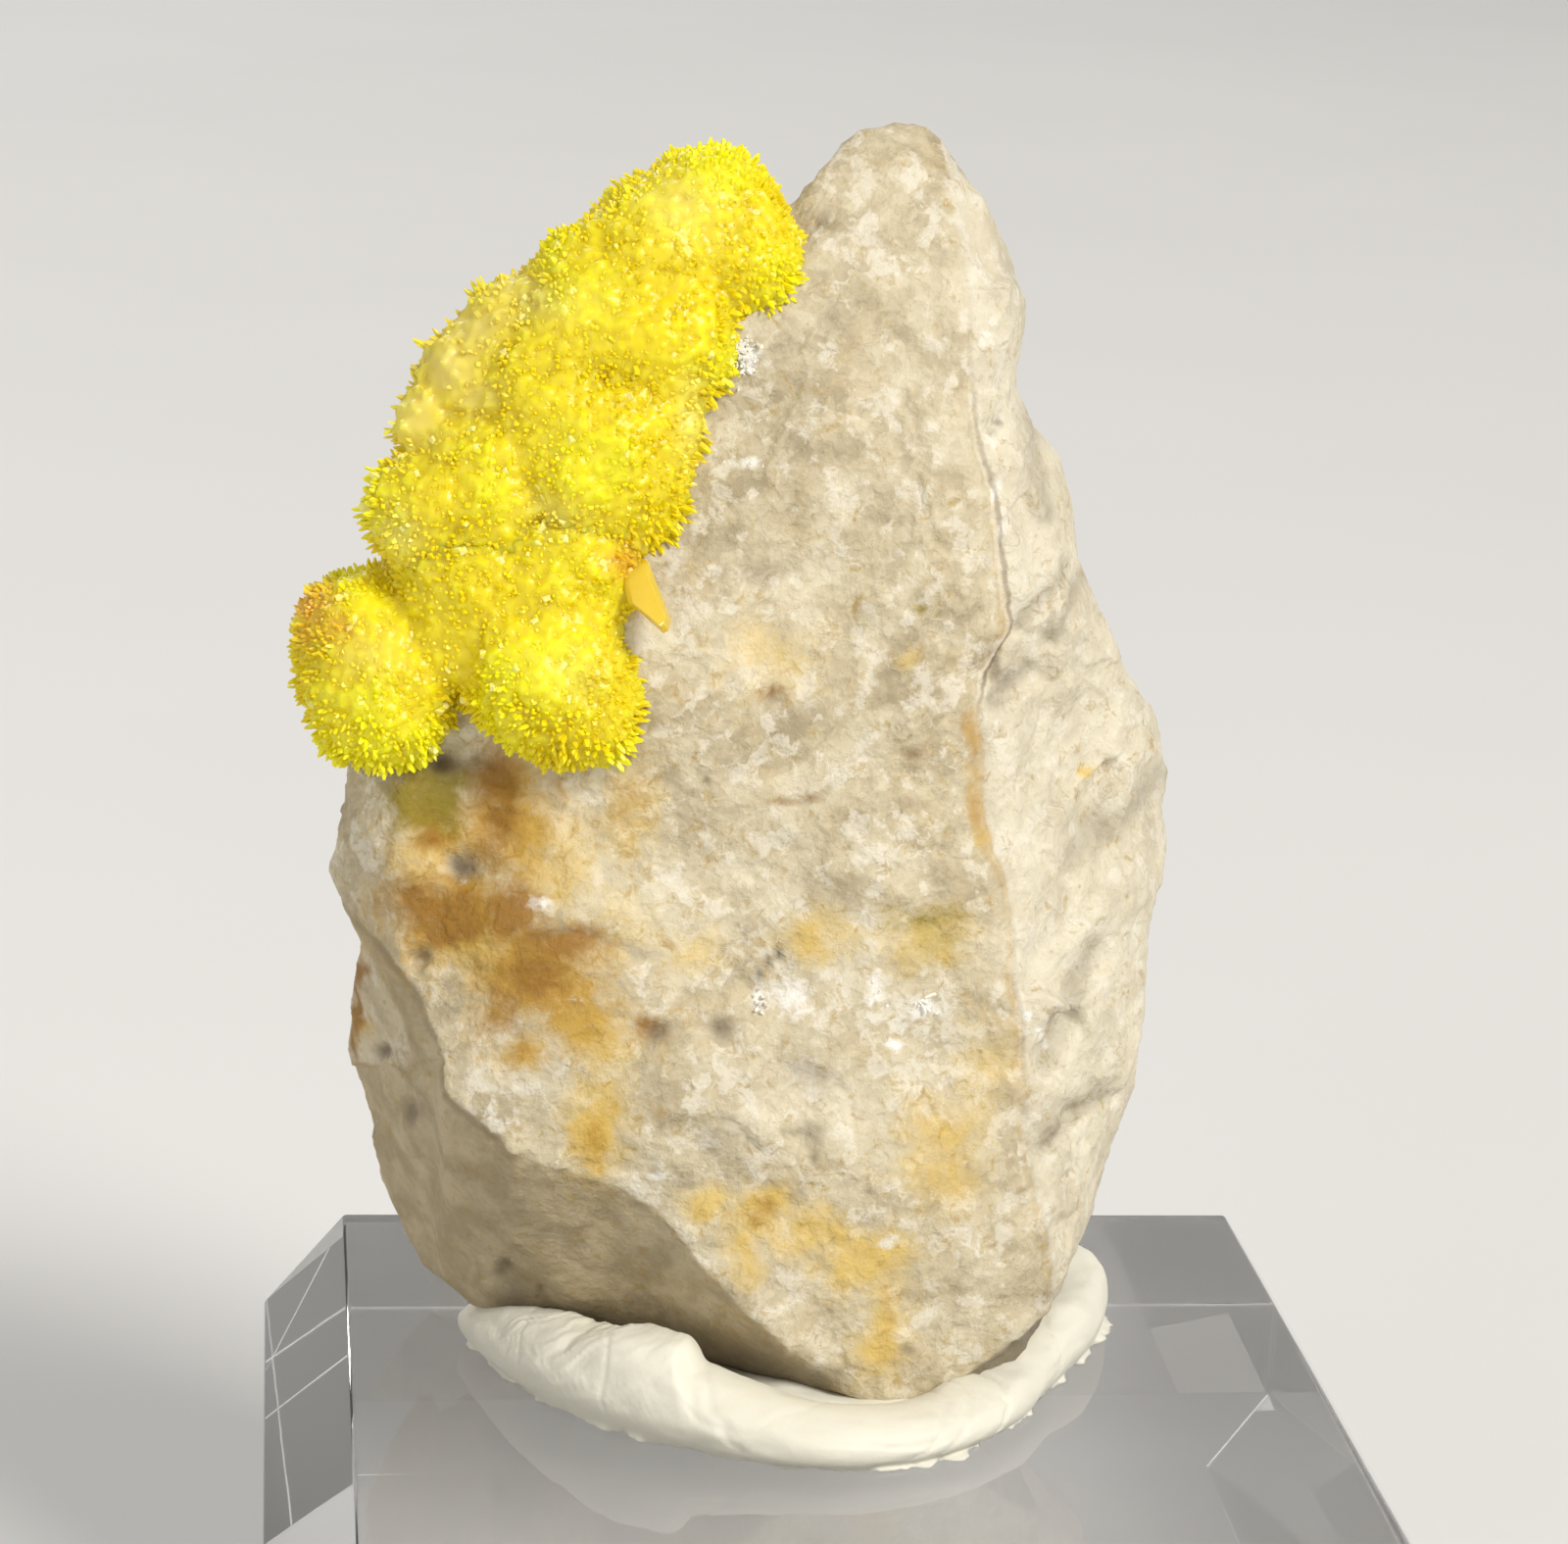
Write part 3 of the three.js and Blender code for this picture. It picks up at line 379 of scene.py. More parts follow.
# How the crust's crystals stand: how far their feet stray from an even spacing, as a share of it, and how
# far inside the stone's face no more stand. Blocks and needles have the least and greatest share of their
# length and width, a lean, and how many are missing where the crust is bare.
FOOT_STRAY = 0.3
FOOT_COVER = 0.15
BLOCKS = {"length": (0.2, 1.0), "width": (0.7, 1.3), "lean": 0.35, "missing": 0.3}
NEEDLES = {"length": (0.3, 1.1), "width": (0.6, 1.4), "lean": 0.25, "missing": 1.2}
# Needles are mostly short, as a beta curve gives them, longer where the crust turns from the eye, shorter
# in its calm places, and stand in tufts. A few are broad plates, whose milky colour is a painted glint.
NEEDLE_LENGTHS = (1.6, 2.2)
NEEDLE_FACING = 0.48
NEEDLE_ASIDE = 0.62
CALM_SHORTER = 0.6
TUFT_NOISE = (0.7, 2, 161)
TUFT_RANGE = (-0.6, 0.7)
TUFT_LEAST = 0.62
TUFT_MORE = 0.85
PLATE_SHARE = 0.015
PLATE_WIDE = 2.0
PLATE_PAINTED_GLINT = 1.7
# The seed of every draw for the crust, its inner glow, and the angle from which a crystal's edge is sharp.
CRUST_SEED = 7
CRUST_GLOW = 0.9
CRYSTAL_EDGE = 28

# The blade's drawn outline, from its root at the top.
BLADE_OUTLINE = np.array([
    (-6.0, 23.0), (-5.3, 21.35), (-5.35, 21.05), (-5.5, 20.95), (-6.0, 21.4), (-6.5, 21.8), (-6.7, 22.6),
])
# How thick the blade is, how far it stands off the stone at its root, how much more for each millimetre
# down, and the size of its flat front as a share of its back.
BLADE_THICK = 0.35
BLADE_LIFT = 0.35
BLADE_TILT = 0.35
BLADE_FACE = 0.72

# The putty roll: (x, y, half width, height) from its blunt left end round the front to its right end.
PUTTY_ROUTE = np.array([
    (-9.6, 3.7, 1.0, 1.2), (-8.7, 1.3, 1.3, 1.6), (-7.3, -1.4, 1.45, 2.1), (-5.5, -3.2, 1.5, 2.1),
    (-3.1, -4.8, 1.4, 1.6), (-0.8, -5.5, 1.35, 1.25), (1.5, -4.9, 1.3, 1.15), (3.4, -3.2, 1.2, 1.25),
    (5.15, -0.55, 0.95, 1.5), (6.85, 2.5, 0.85, 1.7), (7.55, 5.4, 0.8, 1.6), (7.15, 7.6, 0.75, 1.3),
    (5.6, 9.0, 0.7, 1.0),
])
# Creases across the roll: (how far along it, their slant, depth, width), in millimetres.
PUTTY_CREASES = [
    (6.9, 0.5, 0.02, 0.1), (9.9, 0.7, 0.045, 0.22), (16.6, -0.9, 0.05, 0.1), (17.6, -1.0, 0.06, 0.09),
    (18.9, -0.6, 0.12, 0.1), (3.4, 0.9, 0.02, 0.1), (12.8, -1.2, 0.02, 0.12), (22.6, -0.5, 0.04, 0.12),
]
# The roll's rings and the points round each. Its ends round off over two lengths. It stands
# PUTTY_FLOOR above the block, and its section is a squarish oval with its bottom cut off flat.
PUTTY_STEPS = 520
PUTTY_SIDES = 72
LEFT_ROUND = 0.45
RIGHT_ROUND = 1.6
PUTTY_FLOOR = 0.02
SECTION_SQUARE = 0.85
SECTION_MIDDLE = 0.5
SECTION_LIFT = 0.56
# The roll's noises are read round a tube of this radius. The first swells it, the second bends its lines.
PUTTY_TUBE = 2.1
PUTTY_SWELL = 0.07
PUTTY_SWELL_NOISE = (2.4, 3, 151)
PUTTY_WARP_NOISE = (1.4, 2, 161)
# The turn round the roll, in radians, at which creases and kneading lines cross its top.
PUTTY_CREST = 1.6
# Kneading lines: how close they are along the roll, how far they stretch round it, how they curve and
# slant, and where along the roll they are deep, as (place, reach, strength).
LINE_SPACE = 0.27
LINE_STRETCH = 1.1
LINE_CURVE = 0.8
LINE_WARP = 0.5
LINE_SLANT = 0.25
LINE_NOISE = (1.0, 2, 165)
KNEADED = [(5.5, 3.4, 1.0), (17, 3, 0.3)]
CREASE_WARP = 0.35
# The fold along the roll's outer side lies at this turn round it, wanders and slants, and comes and goes
# in waves. The lobe starts and ends between two places along the roll each, the end on a slant.
FOLD = {"at": 2.5, "warp": 0.3, "slant": 0.02, "wide": 0.12, "deep": 0.04, "waves": 0.9}
LOBE = {"start": (5.8, 7.6), "end": (9.0, 9.7), "slant": 0.5, "warp": 0.25, "side": 0.6}
# The ragged lip: its height as a share of the roll's, and its width's steady share, how far it varies
# and how closely, along the roll and round it.
LIP_HEIGHT = 0.07
LIP_LEAST = 0.6
LIP_WARP = 0.6
LIP_RAGGED = 0.9
LIP_NOISE = (1.0, 3, 167)
LIP_SPACE = (0.5, 0.8)
# The radius that creases and lines are measured on.
PUTTY_RADIUS = 1.4

PAD = {"x": -0.9, "y": 2.35, "half_wide": 7.7, "half_deep": 6.35, "height": 0.95}
# The pad is a ball of so many rings and points round, cut flat underneath. Its edge waves as (height,
# waves round it, start), its sides and top bulge as powers of the ball's, and its top is uneven.
PAD_RINGS = 60
PAD_AROUND = 160
PAD_WAVES = [(0.05, 3, 0.7), (0.035, 5, 0)]
PAD_SIDES = 0.7
PAD_TOP = 0.45
PAD_UNEVEN = 0.14
PAD_NOISE = (1.8, 4, 171)

# The camera: where it stands, in millimetres, its right, down and forward directions, its lens and
# sensor, in millimetres, and the nearest and farthest that it sees, in metres.
CAMERA_AT = (-16.183, -121.268, 61.663)
CAMERA_RIGHT = (0.99379663, -0.10423729, 0.03876649)
CAMERA_DOWN = (0.01124183, -0.25263811, -0.96749553)
CAMERA_AHEAD = (0.11064301, 0.96192961, -0.24989909)
LENS = 108
SENSOR = 36
SEEN = (0.005, 20)

# The floor lies a little under the base, so that the two never share a plane. It reaches this far each
# way, and its darker patches have this share of its colour.
FLOOR_GAP = 0.03
FLOOR_HALF = 3000.0
FLOOR_DRIFT = 0.94
# The lights as (name, place, size, the setting of its power, tint), all turned to one point, and the
# room's own light.
LIGHTS_AIM = (-2, 0, 28)
LIGHTS = [
    ("key_light", (480, -620, 650), 330, "key", (1.0, 0.975, 0.94)),
    ("fill_light", (-680, -590, 380), 640, "fill", (1.0, 0.98, 0.96)),
    ("back_light", (-220, 700, 600), 430, "fill", (1, 1, 1)),
]
ROOM_TINT = (1.0, 0.98, 0.95, 1)
ROOM_STRENGTH = 0.35

# Large odd numbers and shifts that stir a cell's place into a random number.
HASH_STEPS = (73856093, 19349663, 83492791, 2654435761)
HASH_MIX = (2246822519, 3266489917)
HASH_SHIFTS = (15, 13, 16)
HASH_BITS = 0xFFFFFFFF


def random_cells(cells, seed):
    """A repeatable number from 0 to 1 for each whole-number cell: its three places times large odd
    numbers, folded together and stirred by shifts and products."""
    mixed = np.full(cells.shape[:-1], seed * HASH_STEPS[3] & HASH_BITS, dtype=np.uint64)
    for axis in range(3):
        mixed ^= (cells[..., axis].astype(np.int64) * HASH_STEPS[axis]).astype(np.uint64) & HASH_BITS
    for shift, factor in zip(HASH_SHIFTS, HASH_MIX):
        mixed ^= mixed >> shift
        mixed = mixed * factor & HASH_BITS
    mixed ^= mixed >> HASH_SHIFTS[2]
    return mixed.astype(float) / HASH_BITS


def value_noise(points, seed):
    """Smooth noise from -1 to 1: random numbers at the corners of unit cells, blended across each."""
    low = np.floor(points)
    share = points - low
    share = share * share * (3 - 2 * share)
    total = np.zeros(len(points))
    for corner in np.ndindex(2, 2, 2):
        weight = np.prod(np.where(corner, share, 1 - share), axis=1)
        total += weight * random_cells(low + corner, seed)
    return 2 * total - 1


def rough_noise(points, size, layers, seed):
    """Layers of value noise, the first with features of that size, each later one half as large."""
    total = np.zeros(len(points))
    for layer in range(layers):
        total += value_noise(points * 2**layer / size, seed + layer) / 2**layer
    return total


def broken_facets(points, size, tilt, sharp, seed):
    """The relief of a fractured surface: each random spot, one to a cell, owns a tilted plane, and a
    place takes the planes of the spots round it, weighted by exp(-sharp * distance squared)."""
    scaled = points / size
    low = np.floor(scaled)
    height = np.zeros(len(points))
    total = np.zeros(len(points))
    for step in np.ndindex(3, 3, 3):
        cell = low + np.array(step) - 1
        draws = [random_cells(cell, seed + k) for k in range(7)]
        away = scaled - cell - np.stack(draws[:3], axis=-1)
        slope = np.stack(draws[3:6], axis=-1) * 2 - 1
        weight = np.exp(-sharp * np.sum(away**2, axis=1))
        height += weight * (draws[6] - 0.5 + tilt * np.sum(slope * away, axis=1))
        total += weight
    return height / total


def along(line, place):
    """Reads a line drawn as (place, value) pairs, straight between its points."""
    return np.interp(place, line[:, 0], line[:, 1])


def past(value):
    """How far a value is past zero, with the corner rounded: soft * log(1 + exp(value / soft))."""
    return EDGE_SOFT * np.logaddexp(0, value / EDGE_SOFT)


def bump(distance, reach):
    """A round bump of height 1: exp(-(distance / reach) squared)."""
    return np.exp(-((distance / reach) ** 2))


def smooth_step(value, low, high):
    """Rises from 0 at low to 1 at high along 3t² - 2t³."""
    t = np.clip((value - low) / (high - low), 0, 1)
    return t * t * (3 - 2 * t)


def swell(u, w, waves):
    """A slow swell from -1 to 1: sin(a u + b w + c) * cos(d u + e w + f)."""
    (a, b, c), (d, e, f) = waves
    return np.sin(a * u + b * w + c) * np.cos(d * u + e * w + f)


def line_distance(u, w, start, end):
    """The distance from drawn points to the straight line between two others."""
    du, dw = end[0] - start[0], end[1] - start[1]
    share = np.clip(((u - start[0]) * du + (w - start[1]) * dw) / (du**2 + dw**2), 0, 1)
    return np.hypot(u - start[0] - share * du, w - start[1] - share * dw)


def spots_field(u, w, spots):
    """The strongest of several oval spots at each drawn point."""
    fields = [k * np.exp(-(((u - su) / ru) ** 2) - ((w - sw) / rw) ** 2) for su, sw, ru, rw, k in spots]
    return np.max(fields, axis=0)


def front_depth(u, w):
    """The depth y of the stone's show side: a leaning, bowed face with a slow swell, that breaks back
    past the ridges to its flanks and facets, with hollows and furrows in it."""
    y = FACE_FOOT + FACE_LEAN * w + FACE_BOW * (u - FACE_CREST) ** 2
    y = y + FACE_SWELL * swell(u, w, FACE_WAVES)
    y = y + SHOULDER_BOW * np.maximum(0, w - SHOULDER_START) ** 2
    right_of = u - along(RIGHT_RIDGE, w)
    y = y + RIGHT_STEP * smooth_step(right_of, 0, STEP_WIDE) + RIGHT_SLOPE * past(right_of - STEP_WIDE / 2)
    y = y + along(RIGHT_GROOVE, w) * bump(right_of, GROOVE_WIDE)
    y = y + LOWER_SLOPE * past(along(LOWER_RIDGE, u) - w) + LEFT_SLOPE * past(LEFT_EDGE - u)
    y = y + FOOT_EDGE["slope"] * past(FOOT_EDGE["w"] + FOOT_EDGE["rise"] * (u - FOOT_EDGE["u"]) - w)
    for hu, hw, reach, deep in FACE_HOLLOWS:
        y = y + deep * bump(np.hypot(u - hu, w - hw), reach)
    for fu, fw, tu, tw, reach, deep in FURROWS:
        y = y + deep * bump(line_distance(u, w, (fu, fw), (tu, tw)), reach)
    return y


def back_depth(u, w):
    """The depth y of the stone's back: the nearest of its facets, joined softly, with a slow swell."""
    facets = np.stack([at + du * u + dw * w for at, du, dw in BACK_FACETS])
    near = -EDGE_SOFT * np.logaddexp.reduce(-facets / EDGE_SOFT, axis=0)
    return near + BACK_SWELL * swell(u, w, BACK_WAVES)


def place(u, w, y):
    """Carries drawn points along their lines of sight to the depth y."""
    reach = (y - SIGHT[1]) / (DRAWN_AT - SIGHT[1])
    x = SIGHT[0] + (u - SIGHT[0]) * reach
    z = SIGHT[2] + (BASE_TOP + w - SIGHT[2]) * reach
    return np.stack([x, y + 0 * x, z], axis=-1)


def drawn(points):
    """The drawn point (u, w) of each point in space: place run backwards."""
    reach = (points[:, 1] - SIGHT[1]) / (DRAWN_AT - SIGHT[1])
    u = SIGHT[0] + (points[:, 0] - SIGHT[0]) / reach
    w = SIGHT[2] + (points[:, 2] - SIGHT[2]) / reach - BASE_TOP
    return u, w


def outline_reach(du, dw):
    """How far the outline is from the stone's middle in each direction: the furthest edge crossed."""
    start = STONE_OUTLINE[:, :, None] - np.array(STONE_MIDDLE)[None, :, None]
    edge = np.roll(STONE_OUTLINE, -1, axis=0)[:, :, None] - STONE_OUTLINE[:, :, None]
    turn = du * edge[:, 1] - dw * edge[:, 0]
    turn = np.where(np.abs(turn) < TINY, TINY, turn)
    distance = (start[:, 0] * edge[:, 1] - start[:, 1] * edge[:, 0]) / turn
    share = (start[:, 0] * dw - start[:, 1] * du) / turn
    crossed = (distance > 0) & (share >= -TINY) & (share <= 1 + TINY)
    return np.max(np.where(crossed, distance, 0), axis=0)


def inside_outline(u, w):
    """Whether drawn points are inside the stone's outline."""
    du, dw = u - STONE_MIDDLE[0], w - STONE_MIDDLE[1]
    far = np.maximum(np.hypot(du, dw), TINY)
    return far < outline_reach(du / far, dw / far)


def point_normals(points, faces):
    """The average direction of the triangles round each point, weighted by their areas."""
    a, b, c = (points[faces[:, k]] for k in range(3))
    flat = np.cross(b - a, c - a)
    normals = np.zeros_like(points)
    for axis in range(3):
        for corner in range(3):
            normals[:, axis] += np.bincount(faces[:, corner], flat[:, axis], len(points))
    return normals / np.maximum(np.linalg.norm(normals, axis=1), TINY)[:, None]


def grid_triangles(rows, columns, wrap=False, to_middle=False):
    """Two triangles for each cell of a grid of points, row by row. With wrap, the last column joins
    the first. With to_middle, every cell is cut from its corner nearest the grid's own corners."""
    i, j = np.meshgrid(np.arange(rows - 1), np.arange(columns if wrap else columns - 1), indexing="ij")
    p = i * columns + j
    q = i * columns + (j + 1) % columns
    r, s = q + columns, p + columns
    level = np.stack([p, q, r, p, r, s], -1)
    turned = np.stack([p, q, s, q, r, s], -1)
    same = (2 * i < rows - 1) == (2 * j < columns - 1)
    chosen = np.where((same | (not to_middle))[..., None], level, turned)
    return chosen.reshape(-1, 3)


def fan_triangles(first, second, hub):
    """Triangles from a ring's points, each with its neighbour, to one hub."""
    return np.stack([first, second, np.full(len(first), hub)], -1)


def new_piece(name, points, faces, material, smooth=True, values=None):
    """An object at the origin, from points in millimetres, faces that all have the same number of
    corners, and named values per point."""
    mesh = bpy.data.meshes.new(name)
    mesh.vertices.add(len(points))
    mesh.vertices.foreach_set("co", (points * MM).astype(np.float32).ravel())
    mesh.loops.add(faces.size)
    mesh.loops.foreach_set("vertex_index", faces.astype(np.int32).ravel())
    mesh.polygons.add(len(faces))
    mesh.polygons.foreach_set("loop_start", np.arange(0, faces.size, faces.shape[1], dtype=np.int32))
    mesh.update(calc_edges=True)
    mesh.polygons.foreach_set("use_smooth", np.full(len(faces), smooth))
    for key, value in (values or {}).items():
        attribute = mesh.attributes.new(key, "FLOAT", "POINT")
        attribute.data.foreach_set("value", np.asarray(value, dtype=np.float32))
    mesh.materials.append(material)
    if mesh.validate():
        raise RuntimeError(f"{name} has faces that Blender had to mend")
    piece = bpy.data.objects.new(name, mesh)
    bpy.context.scene.collection.objects.link(piece)
    return piece


def keep_piece(piece, slot, *nodes):
    """Puts a finished piece on the specimen's body, in the place of the nodes that it stands for."""
    if nodes:
        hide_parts(*nodes)
    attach(piece, "root")


def soften_edges(piece, width):
    """Rounds a flat-faced piece's edges."""
    bevel = piece.modifiers.new("soft_edges", "BEVEL")
    bevel.width = width
    bevel.segments = 3
    bevel.limit_method = "ANGLE"
    bevel.harden_normals = True
    piece.data.polygons.foreach_set("use_smooth", np.full(len(piece.data.polygons), True))


class Finish:
    """A material built round one Principled shader, whose patterns read Object coordinates."""

    def __init__(self, name, values):
        self.material = bpy.data.materials.new(name)
        self.material.use_nodes = True
        self.tree = self.material.node_tree
        self.shader = self.tree.nodes["Principled BSDF"]
        self.place = self.add("ShaderNodeTexCoord").outputs["Object"]
        for socket, value in values.items():
            self.feed(self.shader.inputs[socket], value)

    def add(self, kind, inputs=(), **settings):
        """A new node with its settings and inputs."""
        node = self.tree.nodes.new(kind)
        for key, value in settings.items():
            setattr(node, key, value)
        for key, value in dict(inputs).items():
            self.feed(node.inputs[key], value)
        return node

    def feed(self, socket, value):
        """Links a socket to another, or gives it a plain value."""
        if isinstance(value, bpy.types.NodeSocket):
            self.tree.links.new(value, socket)
        else:
            socket.default_value = value

    def set(self, socket, value):
        """Feeds a value or a socket to one of the shader's own sockets."""
        self.feed(self.shader.inputs[socket], value)

    def warped(self, size, reach):
        """The coordinates shifted about by noise with features of that size, as far as that reach."""
        inputs = {"Vector": self.place, "Scale": 1 / (size * MM), "Detail": 4.0}
        swirl = self.add("ShaderNodeTexNoise", inputs).outputs["Color"]
        node = self.add("ShaderNodeVectorMath", operation="MULTIPLY_ADD")
        for socket, term in zip(node.inputs, (swirl, (2 * reach * MM,) * 3, self.place)):
            self.feed(socket, term)
        return node.outputs["Vector"]

    def noise(self, size, detail=4.0, roughness=0.55, distortion=0.0):
        """Noise with features of that size in millimetres."""
        inputs = {"Vector": self.place, "Scale": 1 / (size * MM), "Detail": detail,
                  "Roughness": roughness, "Distortion": distortion}
        return self.add("ShaderNodeTexNoise", inputs).outputs["Fac"]

    def cells(self, size, at=None):
        """A random tone for each cell of that size in millimetres."""
        inputs = {"Vector": at or self.place, "Scale": 1 / (size * MM)}
        return self.add("ShaderNodeTexVoronoi", inputs).outputs["Color"]

    def value(self, name):
        """A named value of the piece's points."""
        return self.add("ShaderNodeAttribute", attribute_name=name).outputs["Fac"]

    def math(self, operation, *terms):
        """One sum on one to three terms."""
        node = self.add("ShaderNodeMath", operation=operation)
        for socket, term in zip(node.inputs, terms):
            self.feed(socket, term)
        return node.outputs[0]

    def total(self, *parts):
        """The sum of values, each times its share."""
        result = 0.0
        for value, share in parts:
            result = self.math("MULTIPLY_ADD", value, share, result)
        return result

    def span(self, value, low, high, to_low=0.0, to_high=1.0):
        """Carries low..high to another range, clamped at its ends."""
        inputs = {"Value": value, "From Min": low, "From Max": high, "To Min": to_low, "To Max": to_high}
        return self.add("ShaderNodeMapRange", inputs).outputs["Result"]

    def ramp(self, factor, stops):
        """Colours read along stops of (position, colour): the first two given are the ends."""
        node = self.add("ShaderNodeValToRGB", {"Fac": factor})
        elements = node.color_ramp.elements
        for k, (position, colour) in enumerate(stops):
            element = elements[k] if k < 2 else elements.new(position)
            element.position = position
            element.color = colour
        return node.outputs["Color"]

    def mix(self, factor, a, b):
        """Colour a turned to colour b by a factor. The node keeps its colours in sockets 6, 7 and 2."""
        node = self.add("ShaderNodeMix", data_type="RGBA")
        self.feed(node.inputs["Factor"], factor)
        self.feed(node.inputs[6], a)
        self.feed(node.inputs[7], b)
        return node.outputs[2]

    def share(self, factor, amount):
        """A factor held down to a share of itself."""
        return self.math("MULTIPLY", factor, amount)

    def distance(self, value, middle):
        """How far a value is from a middle one."""
        return self.math("ABSOLUTE", self.math("SUBTRACT", value, middle))

    def relief(self, *layers):
        """Bump layers, each a height, its depth in millimetres and its strength, one on the other."""
        normal = None
        for height, depth, strength in layers:
            inputs = {"Height": height, "Distance": depth * MM, "Strength": strength}
            node = self.add("ShaderNodeBump", inputs)
            if normal is not None:
                self.feed(node.inputs["Normal"], normal)
            normal = node.outputs["Normal"]
        self.set("Normal", normal)


def length(name, description, default):
    """A length to be set, with its default in millimetres."""
    return FloatProperty(name=name, description=description, default=default * MM, min=0.0,
                         precision=6, unit="LENGTH", subtype="DISTANCE")


def colour(name, description, default):
    """A colour to be set."""
    return FloatVectorProperty(name=name, description=description, default=(*default, 1.0), size=4,
                               min=0.0, max=1.0, subtype="COLOR")


class StoneSettings(bpy.types.PropertyGroup):
    """Sizes and colours of the stone that the crystals grow on."""
    across: IntProperty(name="Across", description="Cells across the stone's grid", default=182)
    up: IntProperty(name="Up", description="Cells up the stone's grid", default=272)
    undulation: length("Undulation", "Depth of the slow waves in the show face", 0.07)
    fracture: length("Fracture", "Depth of the broken facets on the flanks and back", 0.5)
    ledge: length("Ledge", "Height of the small ledges all over the stone", 0.07)
    grain: length("Grain", "Depth of the sugary grain", 0.035)
    cream: colour("Cream", "Lightest tone of the stone", (0.69, 0.625, 0.465))
    beige: colour("Beige", "Middle tone of the stone", (0.55, 0.475, 0.32))
    taupe: colour("Taupe", "Darkest tone of the stone", (0.37, 0.305, 0.19))
    underside: colour("Underside", "Tone of the low flank", (0.32, 0.25, 0.137))
    rust: colour("Rust", "Strongest iron stain", (0.27, 0.125, 0.012))
    ochre: colour("Ochre", "Middling iron stain", (0.5, 0.3, 0.04))
    gold: colour("Gold", "Weakest, yellow iron stain", (0.67, 0.46, 0.09))
    olive: colour("Olive", "Yellow-green stain", (0.24, 0.18, 0.006))
    brown: colour("Brown", "Grey-brown marks", (0.22, 0.175, 0.12))
    seam: colour("Seam", "The seam beside the right ridge", (0.50, 0.34, 0.13))
    tan: colour("Tan", "Warm cloudy patches", (0.56, 0.45, 0.26))
    milk: colour("Milk", "Milky patches", (0.76, 0.72, 0.61))
    chalk: colour("Chalk", "Whitening of the right flank", (0.71, 0.675, 0.56))
    hairline: colour("Hairline", "Thin dark lines in the stone", (0.27, 0.21, 0.13))
    film: colour("Film", "Paler film on the low flank", (0.48, 0.395, 0.245))
    # Frost is also the colour of the painted highlight along the right ridge.
    frost: colour("Frost", "Frosted places", (0.84, 0.825, 0.77))
    # Lip is a painted highlight on the face's edge at the right ridge.
    lip: colour("Lip", "Pale lip of the groove", (0.80, 0.77, 0.68))
    # Groove is painted shade in the groove along the right ridge.
    groove: colour("Groove", "Floor of the groove", (0.17, 0.12, 0.07))
    # Pit is the colour of all painted shade: pits, cracks, furrows, foot, underside and strip.
    pit: colour("Pit", "Pits, cracks and shaded places", (0.09, 0.065, 0.04))


class DruseSettings(bpy.types.PropertyGroup):
    """Colour of the white crystals in the frosted places."""
    white: colour("White", "Colour of the small white crystals", (0.80, 0.78, 0.70))


class CrustSettings(bpy.types.PropertyGroup):
    """Sizes and colours of the yellow crust."""
    needle: length("Needle length", "How far a needle stands out of the crust", 0.34)
    needle_wide: length("Needle width", "Width of a needle", 0.15)
    needle_space: length("Needle spacing", "Distance between neighbouring needles", 0.166)
    block: length("Block length", "How far a blocky crystal stands out of the crust", 0.2)
    block_wide: length("Block width", "Width of a blocky crystal", 0.26)
    block_space: length("Block spacing", "Distance between neighbouring blocky crystals", 0.24)
    fineness: length("Fineness", "Finest detail that is kept where the blocks grow together", 0.085)
    yellow: colour("Yellow", "Colour of the crystals", (0.875, 0.82, 0.008))
    # Golden and pale end the crystal's random tone and its painted shade, golden deep down and pale at the
    # tips.
    golden: colour("Golden", "Colour deep between the crystals", (0.83, 0.68, 0.008))
    pale: colour("Pale", "Colour of the tips", (0.905, 0.865, 0.022))
    bare: colour("Bare", "Colour where few crystals stand", (0.72, 0.605, 0.18))
    warm: colour("Warm", "Colour of the orange patch", (0.80, 0.43, 0.04))
    # Milky is partly milky crystal and partly painted glow, and on the plates a painted glint.
    milky: colour("Milky", "Colour of milky places and plates", (0.94, 0.89, 0.34))


class BladeSettings(bpy.types.PropertyGroup):
    """Size and colour of the single flat crystal."""
    edge: length("Edge", "Rounding of the crystal's edges", 0.06)
    amber: colour("Amber", "Colour of the crystal", (0.92, 0.68, 0.08))


class TackSettings(bpy.types.PropertyGroup):
    """Sizes and colours of the putty."""
    striation: length("Striation", "Depth of the kneading lines", 0.036)
    lobe: length("Lobe", "How far the folded left part stands above the rest", 0.5)
    lip: length("Lip", "How far the lower edge spreads over the base", 0.34)
    white: colour("White", "Colour of the putty", (0.77, 0.745, 0.63))
    shade: colour("Shade", "Colour of handled places", (0.60, 0.56, 0.44))


class BaseSettings(bpy.types.PropertyGroup):
    """Sizes of the clear base's finish."""
    edge: length("Edge", "Rounding of the block's edges", 0.1)
    roughness: FloatProperty(name="Roughness", description="Roughness of the polish", default=0.015)


class StageSettings(bpy.types.PropertyGroup):
    """The floor and the lights."""
    floor: colour("Floor", "Colour of the floor", (0.78, 0.77, 0.75))
    key: FloatProperty(name="Key", description="Power of the main light", default=9.35, unit="POWER")
    fill: FloatProperty(name="Fill", description="Power of the soft lights left and behind", default=2.1,
                        unit="POWER")


